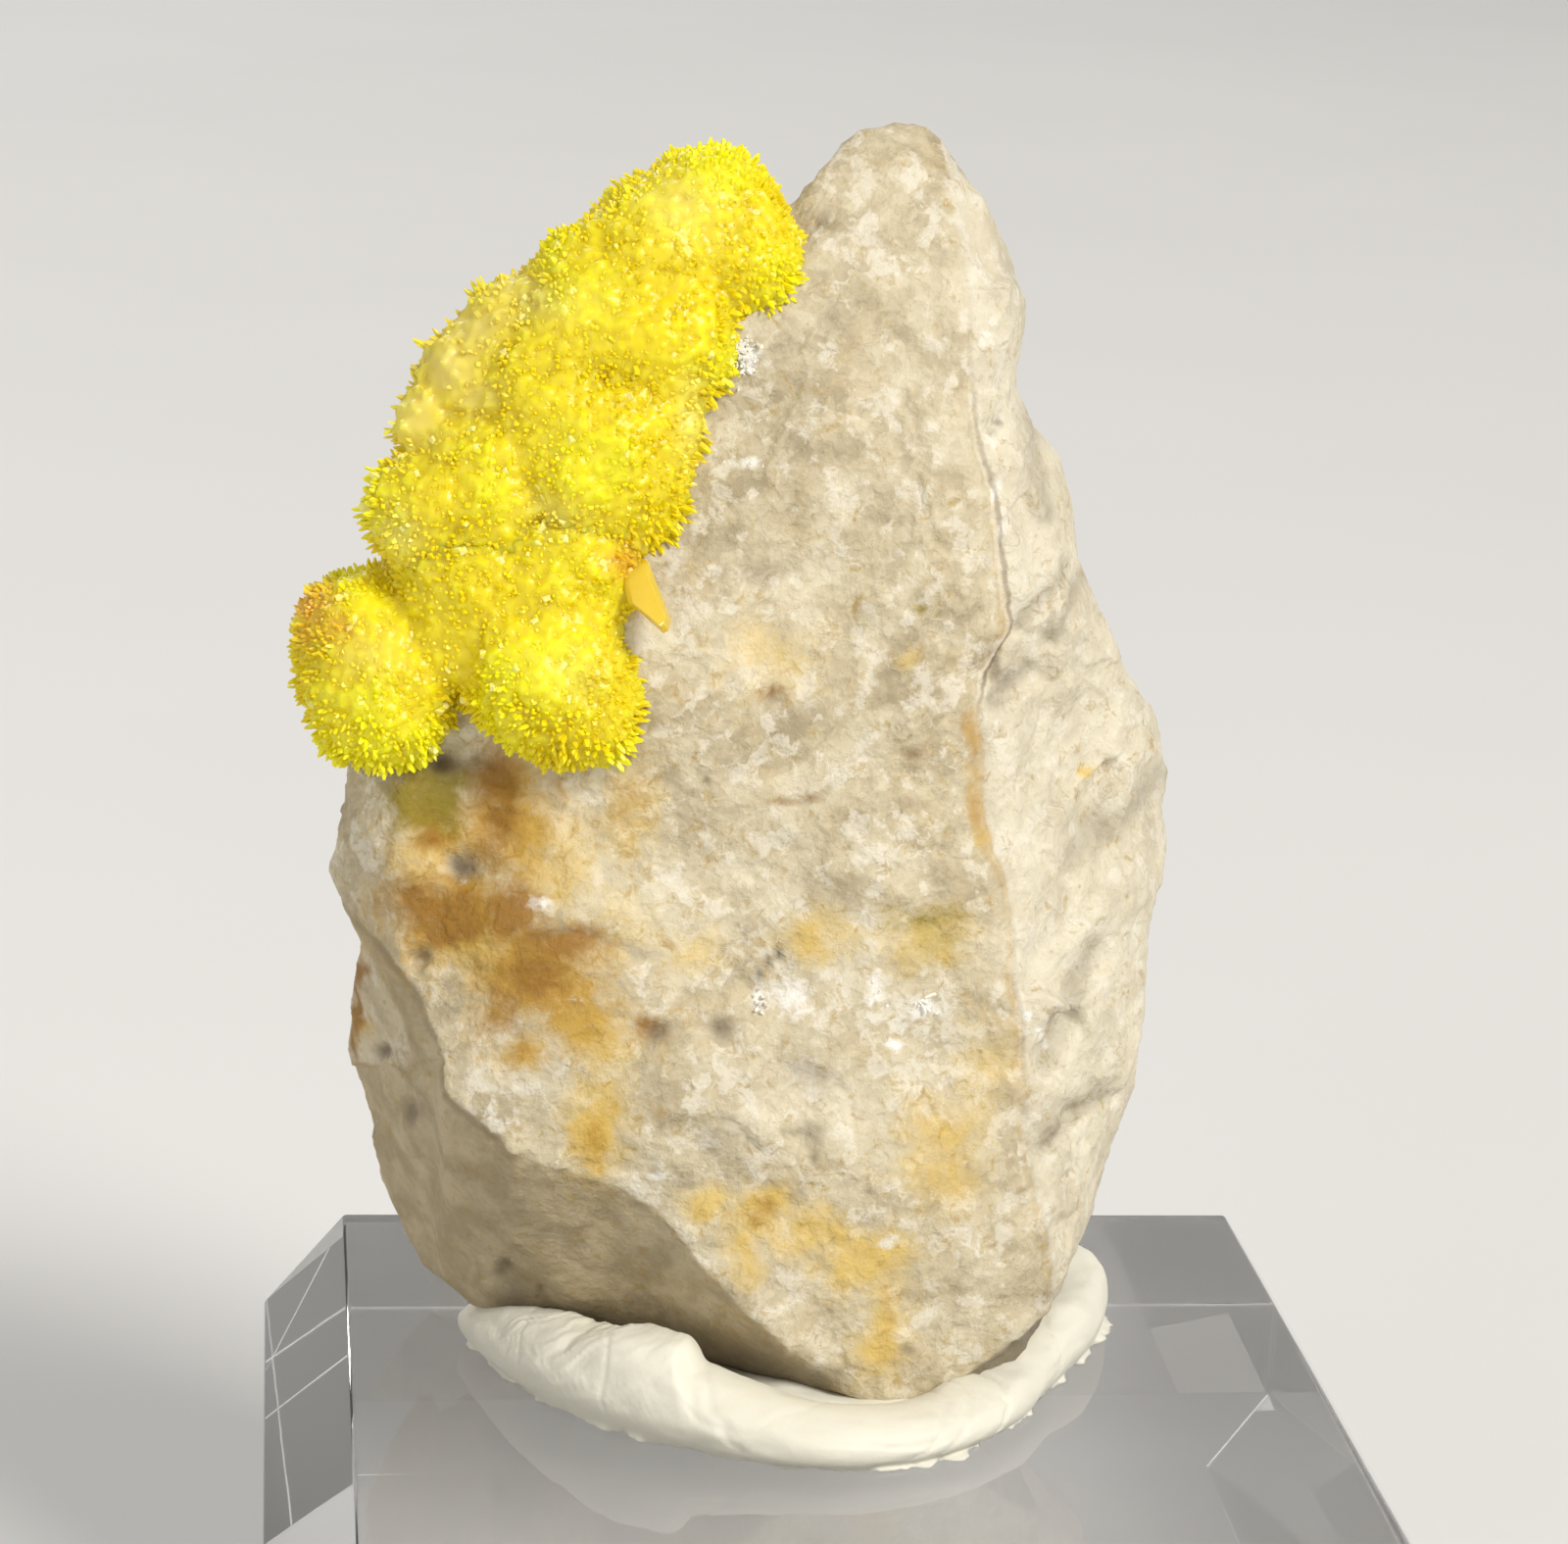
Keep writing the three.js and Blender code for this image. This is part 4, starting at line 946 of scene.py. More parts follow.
def stone_surface(across_cells, up_cells):
    """The stone as two sheets over one square grid that share their rim.

    The square's cells are pulled to a disc, and the disc to the outline. Each sheet's depth is its own
    side's, rounded off to the rim as the square root of 1 - radius to a power. Returns the points, the
    triangles, each point's drawn place, whether it is on the show side and how far in from the outline."""
    sides = [np.linspace(-1, 1, count + 1) for count in (across_cells, up_cells)]
    sides = [t + (np.sin(np.pi / 2 * t) - t) * RIM_CROWDING for t in sides]
    a, b = (grid.ravel() for grid in np.meshgrid(*sides, indexing="ij"))
    across = a * np.sqrt(1 - b**2 / 2)
    up = b * np.sqrt(1 - a**2 / 2)
    radius = np.minimum(1, np.hypot(across, up))
    on_rim = np.maximum(np.abs(a), np.abs(b)) > 1 - TINY
    safe = np.maximum(radius, TINY)
    reach = outline_reach(across / safe, up / safe)
    u = STONE_MIDDLE[0] + across * reach
    w = STONE_MIDDLE[1] + up * reach
    front, back = front_depth(u, w), back_depth(u, w)
    rim = front + (back - front) * RIM_SHARE

    sheets = []
    for side, rounding in ((front, FRONT_ROUNDING), (back, BACK_ROUNDING)):
        full = np.where(on_rim, 0, np.sqrt(np.maximum(0, 1 - radius**rounding)))
        sheets.append(place(u, w, rim + (side - rim) * full))
    inner = np.flatnonzero(~on_rim)
    back_index = np.arange(len(u))
    back_index[inner] = len(u) + np.arange(len(inner))
    points = np.concatenate([sheets[0], sheets[1][inner]])
    points[:, 2] = np.maximum(points[:, 2], BASE_TOP + STONE_CLEAR)

    # A grid row runs up, so the show side's triangles face -Y once they are turned over.
    faces = grid_triangles(across_cells + 1, up_cells + 1, to_middle=True)
    faces = np.concatenate([faces[:, ::-1], back_index[faces]])
    show = np.arange(len(points)) < len(u)
    u, w, inset = (np.concatenate([value, value[inner]]) for value in (u, w, reach * (1 - radius)))
    return points, faces, u, w, show, inset


def terraced(noise, step):
    """Noise cut into level terraces with short slopes between, one unit high for each step."""
    level = np.floor(noise / step)
    return level + smooth_step(noise / step - level, *TERRACE_SLOPE)


def ledge_side(u, w, line):
    """How far drawn points are from a line, and whether they are on its left, read at its nearest part."""
    nearest = np.full(u.shape, np.inf)
    left = np.zeros(u.shape, bool)
    for start, end in zip(line, line[1:]):
        away = line_distance(u, w, start, end)
        side = (end[0] - start[0]) * (w - start[1]) - (end[1] - start[1]) * (u - start[0]) > 0
        closer = away < nearest
        nearest = np.where(closer, away, nearest)
        left = np.where(closer, side, left)
    return nearest, left


def stone_relief(points, u, w, show, inset, settings):
    """How far each point of the stone moves along its normal, in millimetres: slow waves, facets that die
    away towards the outline, terraces, grain, ledges, pits and cracks, each in its share of the stone's
    parts. Also returns how dark the painted shade in the pits and cracks is."""
    right = smooth_step(u - along(RIGHT_RIDGE, w), 0, RIDGE_SOFT) * show
    low = smooth_step(along(LOWER_RIDGE, u) - w, 0, RIDGE_SOFT) * show
    back = 1.0 * ~show
    parts = np.stack([show * (1 - right) * (1 - low), low, right, back])
    waves = rough_noise(points, *WAVE_NOISE)
    grain = rough_noise(points, *GRAIN_NOISE)

    move = settings.undulation / MM * waves * (FACE_CALM + (1 - FACE_CALM) * (right + back))
    deep = settings.fracture / MM * (FACET_LEAST + (1 - FACET_LEAST) * smooth_step(inset, 0, FACET_INSET))
    for space, facets, shares in FACETS:
        move += deep * broken_facets(points @ space, *facets) * np.dot(shares, parts)
    for step, noise, shares in TERRACES:
        height = settings.ledge / MM * terraced(rough_noise(points, *noise), step)
        move += height * np.dot(shares, parts)
    move += settings.grain / MM * grain * (1 - LOW_CALM * low)
    for height, reach, line in LEDGES:
        away, left = ledge_side(u + LEDGE_WANDER * grain, w + LEDGE_WANDER * waves, line)
        move += height * left * bump(away, reach) * show

    # Each pit and crack is sunk, and gets painted shade that is darker the deeper it is.
    dark = np.zeros(len(points))
    for pu, pw, reach, deepness in PITS:
        pit = bump(np.hypot(u - pu, w - pw) * (1 + PIT_WANDER * grain), reach) * show
        move -= deepness * pit
        dark = np.maximum(dark, min(1, PIT_DARKNESS * deepness) * pit**PIT_FADE)
    for deepness, line in CRACKS:
        away, _ = ledge_side(u + CRACK_WANDER * grain, w + CRACK_WANDER * waves, line)
        crack = bump(away, CRACK_WIDE) * show
        move -= deepness * crack
        dark = np.maximum(dark, crack * min(1, CRACK_DARKNESS * deepness))
    return move, dark


def stone_values(points, u, w, show, dark):
    """The stone's colour fields, 0 to 1 at each point: its stains, its seam, how strong the painted
    highlight and shade along the right ridge are, its frost with the painted highlight along that ridge,
    its painted shade, and how far it is past the two ridges, with 0.5 on the ridge itself."""
    wander = rough_noise(points, *SPOT_WANDER)
    shift_u, shift_w = (rough_noise(points, *noise) for noise in SPOT_SHIFTS)
    values = {}
    for kind, spots in STAINS.items():
        habit = FROSTED if kind == "frost" else SOAKED
        field = spots_field(u + habit["shift"] * shift_u, w + habit["shift"] * shift_w, spots) * show
        values[kind] = np.clip(habit["full"] * field * (1 + UNEVEN * wander), 0, 1)
    behind = rough_noise(points, *BACK_STAINS["noise"])
    behind = ~show * smooth_step(behind, BACK_STAINS["from"], BACK_STAINS["to"])
    values["ochre"] = np.maximum(values["ochre"], BACK_STAINS["strength"] * behind)

    right_of = u - along(RIGHT_RIDGE, w)
    below = along(LOWER_RIDGE, u) - w
    values["past_right"] = np.where(show, np.clip(0.5 + 0.5 * right_of, 0, 1), 1)
    values["past_lower"] = np.where(show, np.clip(0.5 + 0.5 * below, 0, 1), 0)
    wide, strong = (np.interp(w, SEAM[:, 0], SEAM[:, k]) for k in (1, 2))
    within = smooth_step(right_of, -wide + SEAM_EDGE[0], -wide + SEAM_EDGE[1])
    values["seam"] = np.clip(within * strong * (1 + SEAM_UNEVEN * wander), 0, 1) * show
    values["groove"] = along(GROOVE_SHADE, w) * show
    on_shelf = smooth_step(along(SHELF_BORDER, w) - u, *BORDER_SOFT)
    values["shelf"] = on_shelf * smooth_step(w, SHELF_FOOT, SHELF_FOOT + BORDER_SOFT[1]) * show

    # A painted highlight along the flank's edge at the right ridge, in patches, joined to the frost.
    rim = bump(right_of - PAINTED_RIDGE_HIGHLIGHT["at"], PAINTED_RIDGE_HIGHLIGHT["wide"]) * smooth_step(w, *PAINTED_RIDGE_HIGHLIGHT["low"])
    rim *= (1 - bump(w - PAINTED_RIDGE_HIGHLIGHT["gap"][0], PAINTED_RIDGE_HIGHLIGHT["gap"][1])) * smooth_step(wander, *HIGHLIGHT_PATCHES)
    rim *= 1 - smooth_step(w, *PAINTED_RIDGE_HIGHLIGHT["high"])
    values["frost"] = np.maximum(values["frost"], PAINTED_RIDGE_HIGHLIGHT["strength"] * rim * show)

    # Painted shade: furrows, the falling foot, the underside over the putty and a strip under the lower
    # ridge.
    furrows = [bump(line_distance(u, w, f[:2], f[2:4]), FURROW_SHARE * f[4]) for f in FURROWS]
    foot = FOOT_EDGE["w"] + FOOT_EDGE["rise"] * (u - FOOT_EDGE["u"]) - w
    under = bump(ledge_side(u, w, FOOT_SHADE)[0], FOOT_SHADE_REACH)
    strip = bump(below - STRIP["below"], STRIP["wide"]) * smooth_step(-u, *STRIP_ENDS)
    shades = [dark, FURROW_DARKNESS * np.max(furrows, axis=0) * show,
              FOOT_DARKNESS * smooth_step(foot, *BORDER_SOFT) * show, under * show,
              STRIP["strength"] * strip * show]
    values["dark"] = np.max(shades, axis=0)
    return values


def stone_finish(settings):
    """Pale limestone: crisp-edged plates, clumps and crumbs of cream, beige and taupe with hairlines
    between, whiter on the right flank and dim and smooth on the low one, with iron soaked in, frost, a
    painted highlight and painted shade along the right ridge, and painted shade in pits, cracks, furrows,
    on the foot, under the lower ridge and over the putty. Each layer is mixed over the last where its
    noise or its drawn field is within a span."""
    finish = Finish("pale_limestone", {
        "Specular IOR Level": 0.35,
        "Subsurface Weight": 0.12,
        "Subsurface Radius": (1.0, 0.8, 0.5),
        "Subsurface Scale": 0.0005,
    })
    drift = finish.noise(4.5, 3, 0.5, 0.3)
    cloud = finish.noise(1.4, 4, 0.55, 0.3)
    loose = finish.warped(0.5, 0.22)
    plates = finish.cells(0.95, at=loose)
    clumps = finish.cells(0.42, at=loose)
    crumbs = finish.span(finish.noise(0.3, 3, 0.55, 0.2), 0.4, 0.6)
    sugar = finish.cells(0.14)
    jags = finish.math("SUBTRACT", finish.noise(0.4, 4, 0.6), 0.5)
    # Both flanks' fields are doubled, which makes them 1 on the ridge, and given a jagged border.
    right = finish.total((finish.value("past_right"), 2.0), (jags, 0.22))
    flank = finish.span(right, 0.98, 1.08)
    lower = finish.span(finish.total((finish.value("past_lower"), 2.0), (jags, 0.25)), 0.97, 1.07)
    lower = finish.math("MULTIPLY", lower, finish.span(finish.value("shelf"), 0, 1, 1, 0.3))
    tone = finish.total((drift, 0.6), (cloud, 0.7), (plates, 0.16), (clumps, 0.15), (crumbs, 0.07),
                        (sugar, 0.07), (flank, 0.07))
    tone = finish.span(tone, 0.655, 1.095)
    stone = finish.ramp(tone, [(0, settings.taupe), (1, settings.cream), (0.5, settings.beige)])
    tan = finish.span(finish.noise(1.8, 5, 0.6, 0.3), 0.5, 0.68, 0, 0.35)
    stone = finish.mix(tan, stone, settings.tan)
    milk = finish.total((finish.noise(0.8, 5, 0.6, 0.2), 1.0), (clumps, 0.12))
    stone = finish.mix(finish.span(milk, 0.6, 0.66, 0, 0.5), stone, settings.milk)
    stone = finish.mix(finish.share(flank, 0.36), stone, settings.chalk)

    vein = finish.noise(1.3, 5, 0.6, 0.5)
    hairlines = finish.math("MULTIPLY", finish.span(finish.distance(vein, 0.5), 0.002, 0.014, 1, 0),
                            finish.span(finish.noise(1.9, 3), 0.48, 0.58))
    stone = finish.mix(finish.share(hairlines, 0.3), stone, settings.hairline)
    low = finish.mix(finish.span(vein, 0.4, 0.62), settings.underside, settings.film)
    stone = finish.mix(finish.share(lower, 0.85), stone, low)

    blotch = finish.noise(0.45, 7, 0.7, 0.8)
    for kind, tint, hold in (
        ("gold", settings.gold, 0.75), ("ochre", settings.ochre, 0.92), ("olive", settings.olive, 0.92),
        ("rust", settings.rust, 0.88), ("taupe", settings.brown, 0.65), ("seam", settings.seam, 0.8),
    ):
        field = finish.value(kind)
        if kind == "seam":
            field = finish.math("MULTIPLY", field, finish.span(flank, 0, 1, 1, 0))
        soaked = finish.total((field, 1.0), (blotch, 1.15), (clumps, 0.2))
        stone = finish.mix(finish.span(soaked, 0.76, 1.6, 0, hold), stone, tint)
    # Frost, with the painted highlight along the right ridge.
    frosted = finish.total((finish.value("frost"), 1.0), (clumps, 0.25), (crumbs, 0.25))
    stone = finish.mix(finish.span(frosted, 0.62, 1.1, 0, 0.85), stone, settings.frost)
    # Painted highlight on the face's edge at the right ridge, and painted shade in the groove past it.
    for middle, wide, hold, tint in ((0.94, 0.07, 0.45, settings.lip), (1.07, 0.09, 0.75, settings.groove)):
        near = finish.span(finish.distance(right, middle), 0.3 * wide, wide, 1, 0)
        line = finish.math("MULTIPLY", near, finish.value("groove"))
        stone = finish.mix(finish.share(line, hold), stone, tint)
    # Painted shade from the dark field: pits, cracks, furrows, foot, underside over the putty and strip.
    stone = finish.mix(finish.span(finish.value("dark"), 0.08, 1.0, 0, 0.8), stone, settings.pit)
    finish.set("Base Color", stone)
    finish.set("Roughness", finish.span(cloud, 0.35, 0.65, 0.5, 0.8))
    finish.relief((clumps, 0.04, 0.35), (crumbs, 0.05, 0.5), (sugar, 0.03, 0.35))
    return finish.material


class SPECIMEN_OT_stone(bpy.types.Operator):
    """Builds the pale stone with its ridges, broken flanks, pits and stains"""
    bl_idname = "specimen.build_stone"
    bl_label = "Stone"

    def execute(self, context):
        settings = context.scene.specimen_stone
        points, faces, u, w, show, inset = stone_surface(settings.across, settings.up)
        move, dark = stone_relief(points, u, w, show, inset, settings)
        values = stone_values(points, u, w, show, dark)
        points = points + point_normals(points, faces) * move[:, None]
        points[:, 2] = np.maximum(points[:, 2], BASE_TOP + STONE_CLEAR)
        stone = new_piece("stone", points, faces, stone_finish(settings), values=values)
        keep_piece(stone, "pale_stone", "matrix_rock")
        return {"FINISHED"}


def lump_centres():
    """The lumps' centres in space, and their radii."""
    u, w, sunk, radius = np.array(LUMPS).T
    return place(u, w, front_depth(u, w) + sunk), radius


def crust_pull(points, centres, radii):
    """Each lump's pull on each point, exp(-crease * (distance - radius)), and the directions away from
    the lumps."""
    away = points[:, None] - centres[None]
    far = np.linalg.norm(away, axis=2)
    return np.exp(-LUMP_CREASE * (far - radii)), away / np.maximum(far, TINY)[..., None]


def crust_skin(lump, directions, centres, radii):
    """The crust's surface over one lump: a ball of that lump's radius, pushed out along its own
    directions by log(1 + the other lumps' pull) / crease, and by a slow unevenness."""
    on_ball = centres[lump] + directions * radii[lump]
    pull, _ = crust_pull(on_ball, centres, radii)
    others = pull.sum(axis=1) - pull[:, lump]
    bare = spots_field(*drawn(on_ball), CRUST_TINTS["bare"])
    uneven = CRUST_UNEVEN * rough_noise(on_ball, *CRUST_NOISE)
    uneven += BARE_UNEVEN * bare * rough_noise(on_ball, *BARE_NOISE)
    return on_ball + directions * (np.log1p(others) / LUMP_CREASE + uneven)[:, None]


def crust_values(points, crystal):
    """The crust's colour fields at each point: those drawn on it, how far the point stands above the
    lumps' smooth union as a share of a crystal, and how deep in a crease between lumps it is."""
    u, w = drawn(points)
    wander = 1 + UNEVEN * rough_noise(points, *TINT_WANDER)
    values = {kind: np.clip(spots_field(u, w, spots) * wander, 0, 1) for kind, spots in CRUST_TINTS.items()}
    pull, _ = crust_pull(points, *lump_centres())
    total = np.maximum(pull.sum(axis=1), TINY)
    values["rise"] = np.clip(-np.log(total) / LUMP_CREASE / crystal, 0, 1)
    values["crease"] = np.clip(2 - 2 * pull.max(axis=1) / total, 0, 1)
    return values


def ball_grid(rings, around):
    """The directions of a ball's points and its triangles: rings from pole to pole, poles closed."""
    polar = np.pi * np.arange(1, rings) / rings
    turn = 2 * np.pi * np.arange(around) / around
    z = np.repeat(np.cos(polar), around)
    flat = np.repeat(np.sin(polar), around)
    turns = np.tile(turn, rings - 1)
    directions = np.stack([flat * np.cos(turns), flat * np.sin(turns), z], axis=-1)
    directions = np.concatenate([directions, [(0, 0, 1), (0, 0, -1)]])
    faces = grid_triangles(rings - 1, around, wrap=True)[:, ::-1]
    here = np.arange(around)
    after = (here + 1) % around
    top, bottom = len(directions) - 2, len(directions) - 1
    last = (rings - 2) * around
    caps = [fan_triangles(here, after, top), fan_triangles(last + after, last + here, bottom)]
    return directions, np.concatenate([faces, *caps])


def crust_balls(lumps):
    """Some of the lumps as closed skins: their points and triangles."""
    centres, radii = lump_centres()
    directions, ball_faces = ball_grid(BALL_RINGS, BALL_AROUND)
    points = [crust_skin(lump, directions, centres, radii) for lump in lumps]
    faces = [ball_faces + k * len(directions) for k in range(len(lumps))]
    return np.concatenate(points), np.concatenate(faces)


def even_directions(count):
    """Directions spread evenly over a ball along a golden spiral."""
    k = np.arange(count)
    z = 1 - (2 * k + 1) / count
    flat = np.sqrt(1 - z * z)
    turn = k * np.pi * (3 - np.sqrt(5))
    return np.stack([flat * np.cos(turn), flat * np.sin(turn), z], axis=-1)


def crystal_feet(lumps, spacing, missing, draw):
    """Where crystals stand: evenly over each lump, but not inside another lump or the stone, and more
    thinly where the crust is bare. Returns the feet and the crust's normals there."""
    centres, radii = lump_centres()
    feet = []
    for lump in lumps:
        radius = radii[lump]
        count = int(4 * np.pi * radius**2 / spacing**2)
        directions = even_directions(count) + draw.normal(0, FOOT_STRAY * spacing / radius, (count, 3))
        directions /= np.linalg.norm(directions, axis=1)[:, None]
        on_ball = centres[lump] + directions * radius
        far = np.linalg.norm(on_ball[:, None] - centres[None], axis=2)
        covered = np.any(np.delete(far < radii, lump, axis=1), axis=1)
        feet.append(crust_skin(lump, directions[~covered], centres, radii))
    feet = np.concatenate(feet)
    pull, away = crust_pull(feet, centres, radii)
    normals = np.sum(pull[..., None] * away, axis=1)
    normals /= np.linalg.norm(normals, axis=1)[:, None]

    u, w = drawn(feet)
    in_stone = inside_outline(u, w) & (feet[:, 1] > front_depth(u, w) + FOOT_COVER)
    bare = spots_field(u, w, CRUST_TINTS["bare"])
    kept = ~in_stone & (draw.random(len(feet)) > missing * bare)
    return feet[kept], normals[kept]


# A needle's corners: a square foot, a narrower shoulder and a ridge that makes the chisel tip.
NEEDLE_CORNERS = np.array([
    (1, 1, 0), (-1, 1, 0), (-1, -1, 0), (1, -1, 0), (1, 1, 1), (-1, 1, 1), (-1, -1, 1), (1, -1, 1),
    (0.5, 0, 2), (-0.5, 0, 2),
])
NEEDLE_FACES = np.array([
    (0, 1, 5), (0, 5, 4), (1, 2, 6), (1, 6, 5), (2, 3, 7), (2, 7, 6), (3, 0, 4), (3, 4, 7),
    (4, 5, 9), (4, 9, 8), (6, 7, 8), (6, 8, 9), (7, 4, 8), (5, 6, 9), (0, 3, 2), (0, 2, 1),
])
# How deep a needle is rooted, its shoulder's width, its depth and its tip's length as shares of its
# width, the longest tip as a share of its length, the size of the patches that lean together, and how much
# of its lean is its own.
NEEDLE_ROOT = 0.25
SHOULDER_SHARE = 0.72
NEEDLE_DEPTH = (0.6, 1.0)
TIP_LENGTH = (0.5, 1.0)
TIP_LONGEST = 0.6
LEAN_PATCH = 0.6
LEAN_SEED = 151
LEAN_OWN = 0.7


def needle_mesh(feet, normals, lengths, widths, lean, draw):
    """Needles as one mesh: a tapered bar with a chisel tip at each foot, along the crust's normal,
    tilted together with its neighbours and a little at random. Returns the points and triangles."""
    count = len(feet)
    together = np.stack([value_noise(feet / LEAN_PATCH, LEAN_SEED + axis) for axis in range(3)], axis=-1)
    ahead = normals + lean * together + draw.normal(0, LEAN_OWN * lean, (count, 3))
    ahead /= np.linalg.norm(ahead, axis=1)[:, None]
    side = np.cross(ahead, draw.normal(0, 1, (count, 3)))
    side /= np.linalg.norm(side, axis=1)[:, None]
    other = np.cross(ahead, side)
    thin = draw.uniform(*NEEDLE_DEPTH, count)
    tip = np.minimum(widths * draw.uniform(*TIP_LENGTH, count), TIP_LONGEST * lengths)
    levels = np.stack([np.full(count, -NEEDLE_ROOT), lengths - tip, lengths], axis=1)
    level = NEEDLE_CORNERS[:, 2].astype(int)
    taper = np.array([1.0, SHOULDER_SHARE, SHOULDER_SHARE])[level]
    across = 0.5 * widths[:, None] * NEEDLE_CORNERS[:, 0] * taper
    through = 0.5 * (widths * thin)[:, None] * NEEDLE_CORNERS[:, 1] * taper
    points = (feet[:, None] + across[..., None] * side[:, None] + through[..., None] * other[:, None]
              + levels[:, level][..., None] * ahead[:, None])
    faces = NEEDLE_FACES[None] + (np.arange(count) * len(NEEDLE_CORNERS))[:, None, None]
    return points.reshape(-1, 3), faces.reshape(-1, 3)


def grown_together(points, faces, finest):
    """Overlapping closed shells joined in one skin, worked out in millimetres by a voxel remesh."""
    shells = bpy.data.meshes.new("shells")
    shells.from_pydata(points.tolist(), [], faces.tolist())
    holder = bpy.data.objects.new("shells", shells)
    bpy.context.scene.collection.objects.link(holder)
    remesh = holder.modifiers.new("join", "REMESH")
    remesh.mode = "VOXEL"
    remesh.voxel_size = finest
    skin = holder.evaluated_get(bpy.context.evaluated_depsgraph_get()).to_mesh()
    joined = np.empty(3 * len(skin.vertices), np.float32)
    skin.vertices.foreach_get("co", joined)
    corners = np.empty(len(skin.loops), np.int32)
    skin.loops.foreach_get("vertex_index", corners)
    if len(corners) != 4 * len(skin.polygons):
        raise RuntimeError("the joined skin isn't all four-sided")
    bpy.data.objects.remove(holder)
    bpy.data.meshes.remove(shells)
    return joined.reshape(-1, 3).astype(float), corners.reshape(-1, 4)


def crust_body(lumps, settings, draw):
    """Some lumps and the blocky crystals on them, grown together: their points and four-sided faces."""
    balls, ball_faces = crust_balls(lumps)
    feet, normals = crystal_feet(lumps, settings.block_space / MM, BLOCKS["missing"], draw)
    stands = settings.block / MM * draw.uniform(*BLOCKS["length"], len(feet))
    widths = settings.block_wide / MM * draw.uniform(*BLOCKS["width"], len(feet))
    blocks, block_faces = needle_mesh(feet, normals, stands, widths, BLOCKS["lean"], draw)
    points = np.concatenate([balls, blocks])
    faces = np.concatenate([ball_faces, block_faces + len(balls)])
    return grown_together(points, faces, settings.fineness / MM)


def crust_needles(lumps, settings, draw):
    """The fine needles on some lumps: their points and triangles, and whether each point is a plate's."""
    feet, normals = crystal_feet(lumps, settings.needle_space / MM, NEEDLES["missing"], draw)
    aside = 1 - np.abs(normals @ (np.array(SIGHT) / np.linalg.norm(SIGHT)))
    calm = spots_field(*drawn(feet), CRUST_TINTS["calm"])
    least, most = NEEDLES["length"]
    stands = settings.needle / MM * (least + (most - least) * draw.beta(*NEEDLE_LENGTHS, len(feet)))
    tufts = smooth_step(rough_noise(feet, *TUFT_NOISE), *TUFT_RANGE)
    stands *= (NEEDLE_FACING + NEEDLE_ASIDE * aside) * (1 - CALM_SHORTER * calm)
    stands *= TUFT_LEAST + TUFT_MORE * tufts
    widths = settings.needle_wide / MM * draw.uniform(*NEEDLES["width"], len(feet))
    plates = draw.random(len(feet)) < PLATE_SHARE
    widths = np.where(plates, PLATE_WIDE * settings.needle_wide / MM, widths)
    points, faces = needle_mesh(feet, normals, stands, widths, NEEDLES["lean"], draw)
    return points, faces, np.repeat(plates, len(NEEDLE_CORNERS))


def crust_finish(name, settings, glow):
    """Yellow crystal, glossy and lit from within, whose tone drifts at random between golden and pale,
    with painted shade that turns it golden in the creases and low between the crystals and paler up at
    the tips, and painted glow that makes it paler in the calm places. The needles, which stand in the
    body, have no glow of their own."""
    finish = Finish(name, {
        "Roughness": 0.36,
        "IOR": 1.46,
        "Subsurface Weight": glow,
        "Subsurface Radius": (1.0, 0.9, 0.2),
        "Subsurface Scale": 0.0008,
    })
    cloud = finish.noise(1.6, 3, 0.5)
    single = finish.cells(0.22)
    # Rise and crease paint shade, golden low between crystals and in creases; calm paints a paler glow.
    tone = finish.total((finish.value("rise"), 0.2), (single, 0.15), (cloud, 0.5),
                        (finish.value("calm"), 0.1), (finish.value("crease"), -0.3))
    crystal = finish.ramp(tone, [(0.15, settings.golden), (0.8, settings.pale), (0.4, settings.yellow)])
    # Milky places are partly painted glow, and the plates' milkiness is a painted glint.
    for kind, hold, tint in (
        ("milky", 0.4, settings.milky), ("bare", 0.75, settings.bare), ("warm", 0.85, settings.warm),
    ):
        crystal = finish.mix(finish.share(finish.value(kind), hold), crystal, tint)
    finish.set("Base Color", crystal)
    finish.relief((finish.noise(0.09, 3), 0.012, 0.3))
    return finish.material


class SPECIMEN_OT_crust(bpy.types.Operator):
    """Builds the yellow crust: lumps grown together, covered with blocky crystals and needles"""
    bl_idname = "specimen.build_crust"
    bl_label = "Crust"

    def execute(self, context):
        settings = context.scene.specimen_crust
        body_finish = crust_finish("canary_crystal", settings, CRUST_GLOW)
        needle_finish = crust_finish("canary_needles", settings, 0.0)
        upper = [lump for lump in range(len(LUMPS)) if lump not in LOWER_LUMPS]
        draw = np.random.default_rng(CRUST_SEED)
        for part, lumps in (("upper", upper), ("lower", list(LOWER_LUMPS))):
            points, faces = crust_body(lumps, settings, draw)
            values = crust_values(points, settings.needle / MM)
            body = new_piece(f"crust_{part}", points, faces, body_finish, values=values)
            body.data.set_sharp_from_angle(angle=np.radians(CRYSTAL_EDGE))
            keep_piece(body, "yellow_crystal", *(["creedite_crust"] if part == "upper" else []))

            points, faces, plates = crust_needles(lumps, settings, draw)
            values = crust_values(points, settings.needle / MM)
            # The plates' milky colour is a painted glint.
            values["milky"] = np.maximum(values["milky"], PLATE_PAINTED_GLINT * plates)
            needles = new_piece(f"crust_{part}_needles", points, faces, needle_finish, False, values)
            keep_piece(needles, "yellow_crystal")
        return {"FINISHED"}


def blade_finish(settings):
    """Clear amber crystal: colour held in its depth."""
    finish = Finish("clear_amber", {
        "Base Color": settings.amber,
        "Roughness": 0.12,
        "IOR": 1.46,
        "Transmission Weight": 0.35,
        "Subsurface Weight": 0.3,
        "Subsurface Radius": (1.0, 0.6, 0.1),
        "Subsurface Scale": 0.0004,
    })
    finish.relief((finish.noise(0.5, 3, 0.5, 0.4), 0.02, 0.3))
    return finish.material


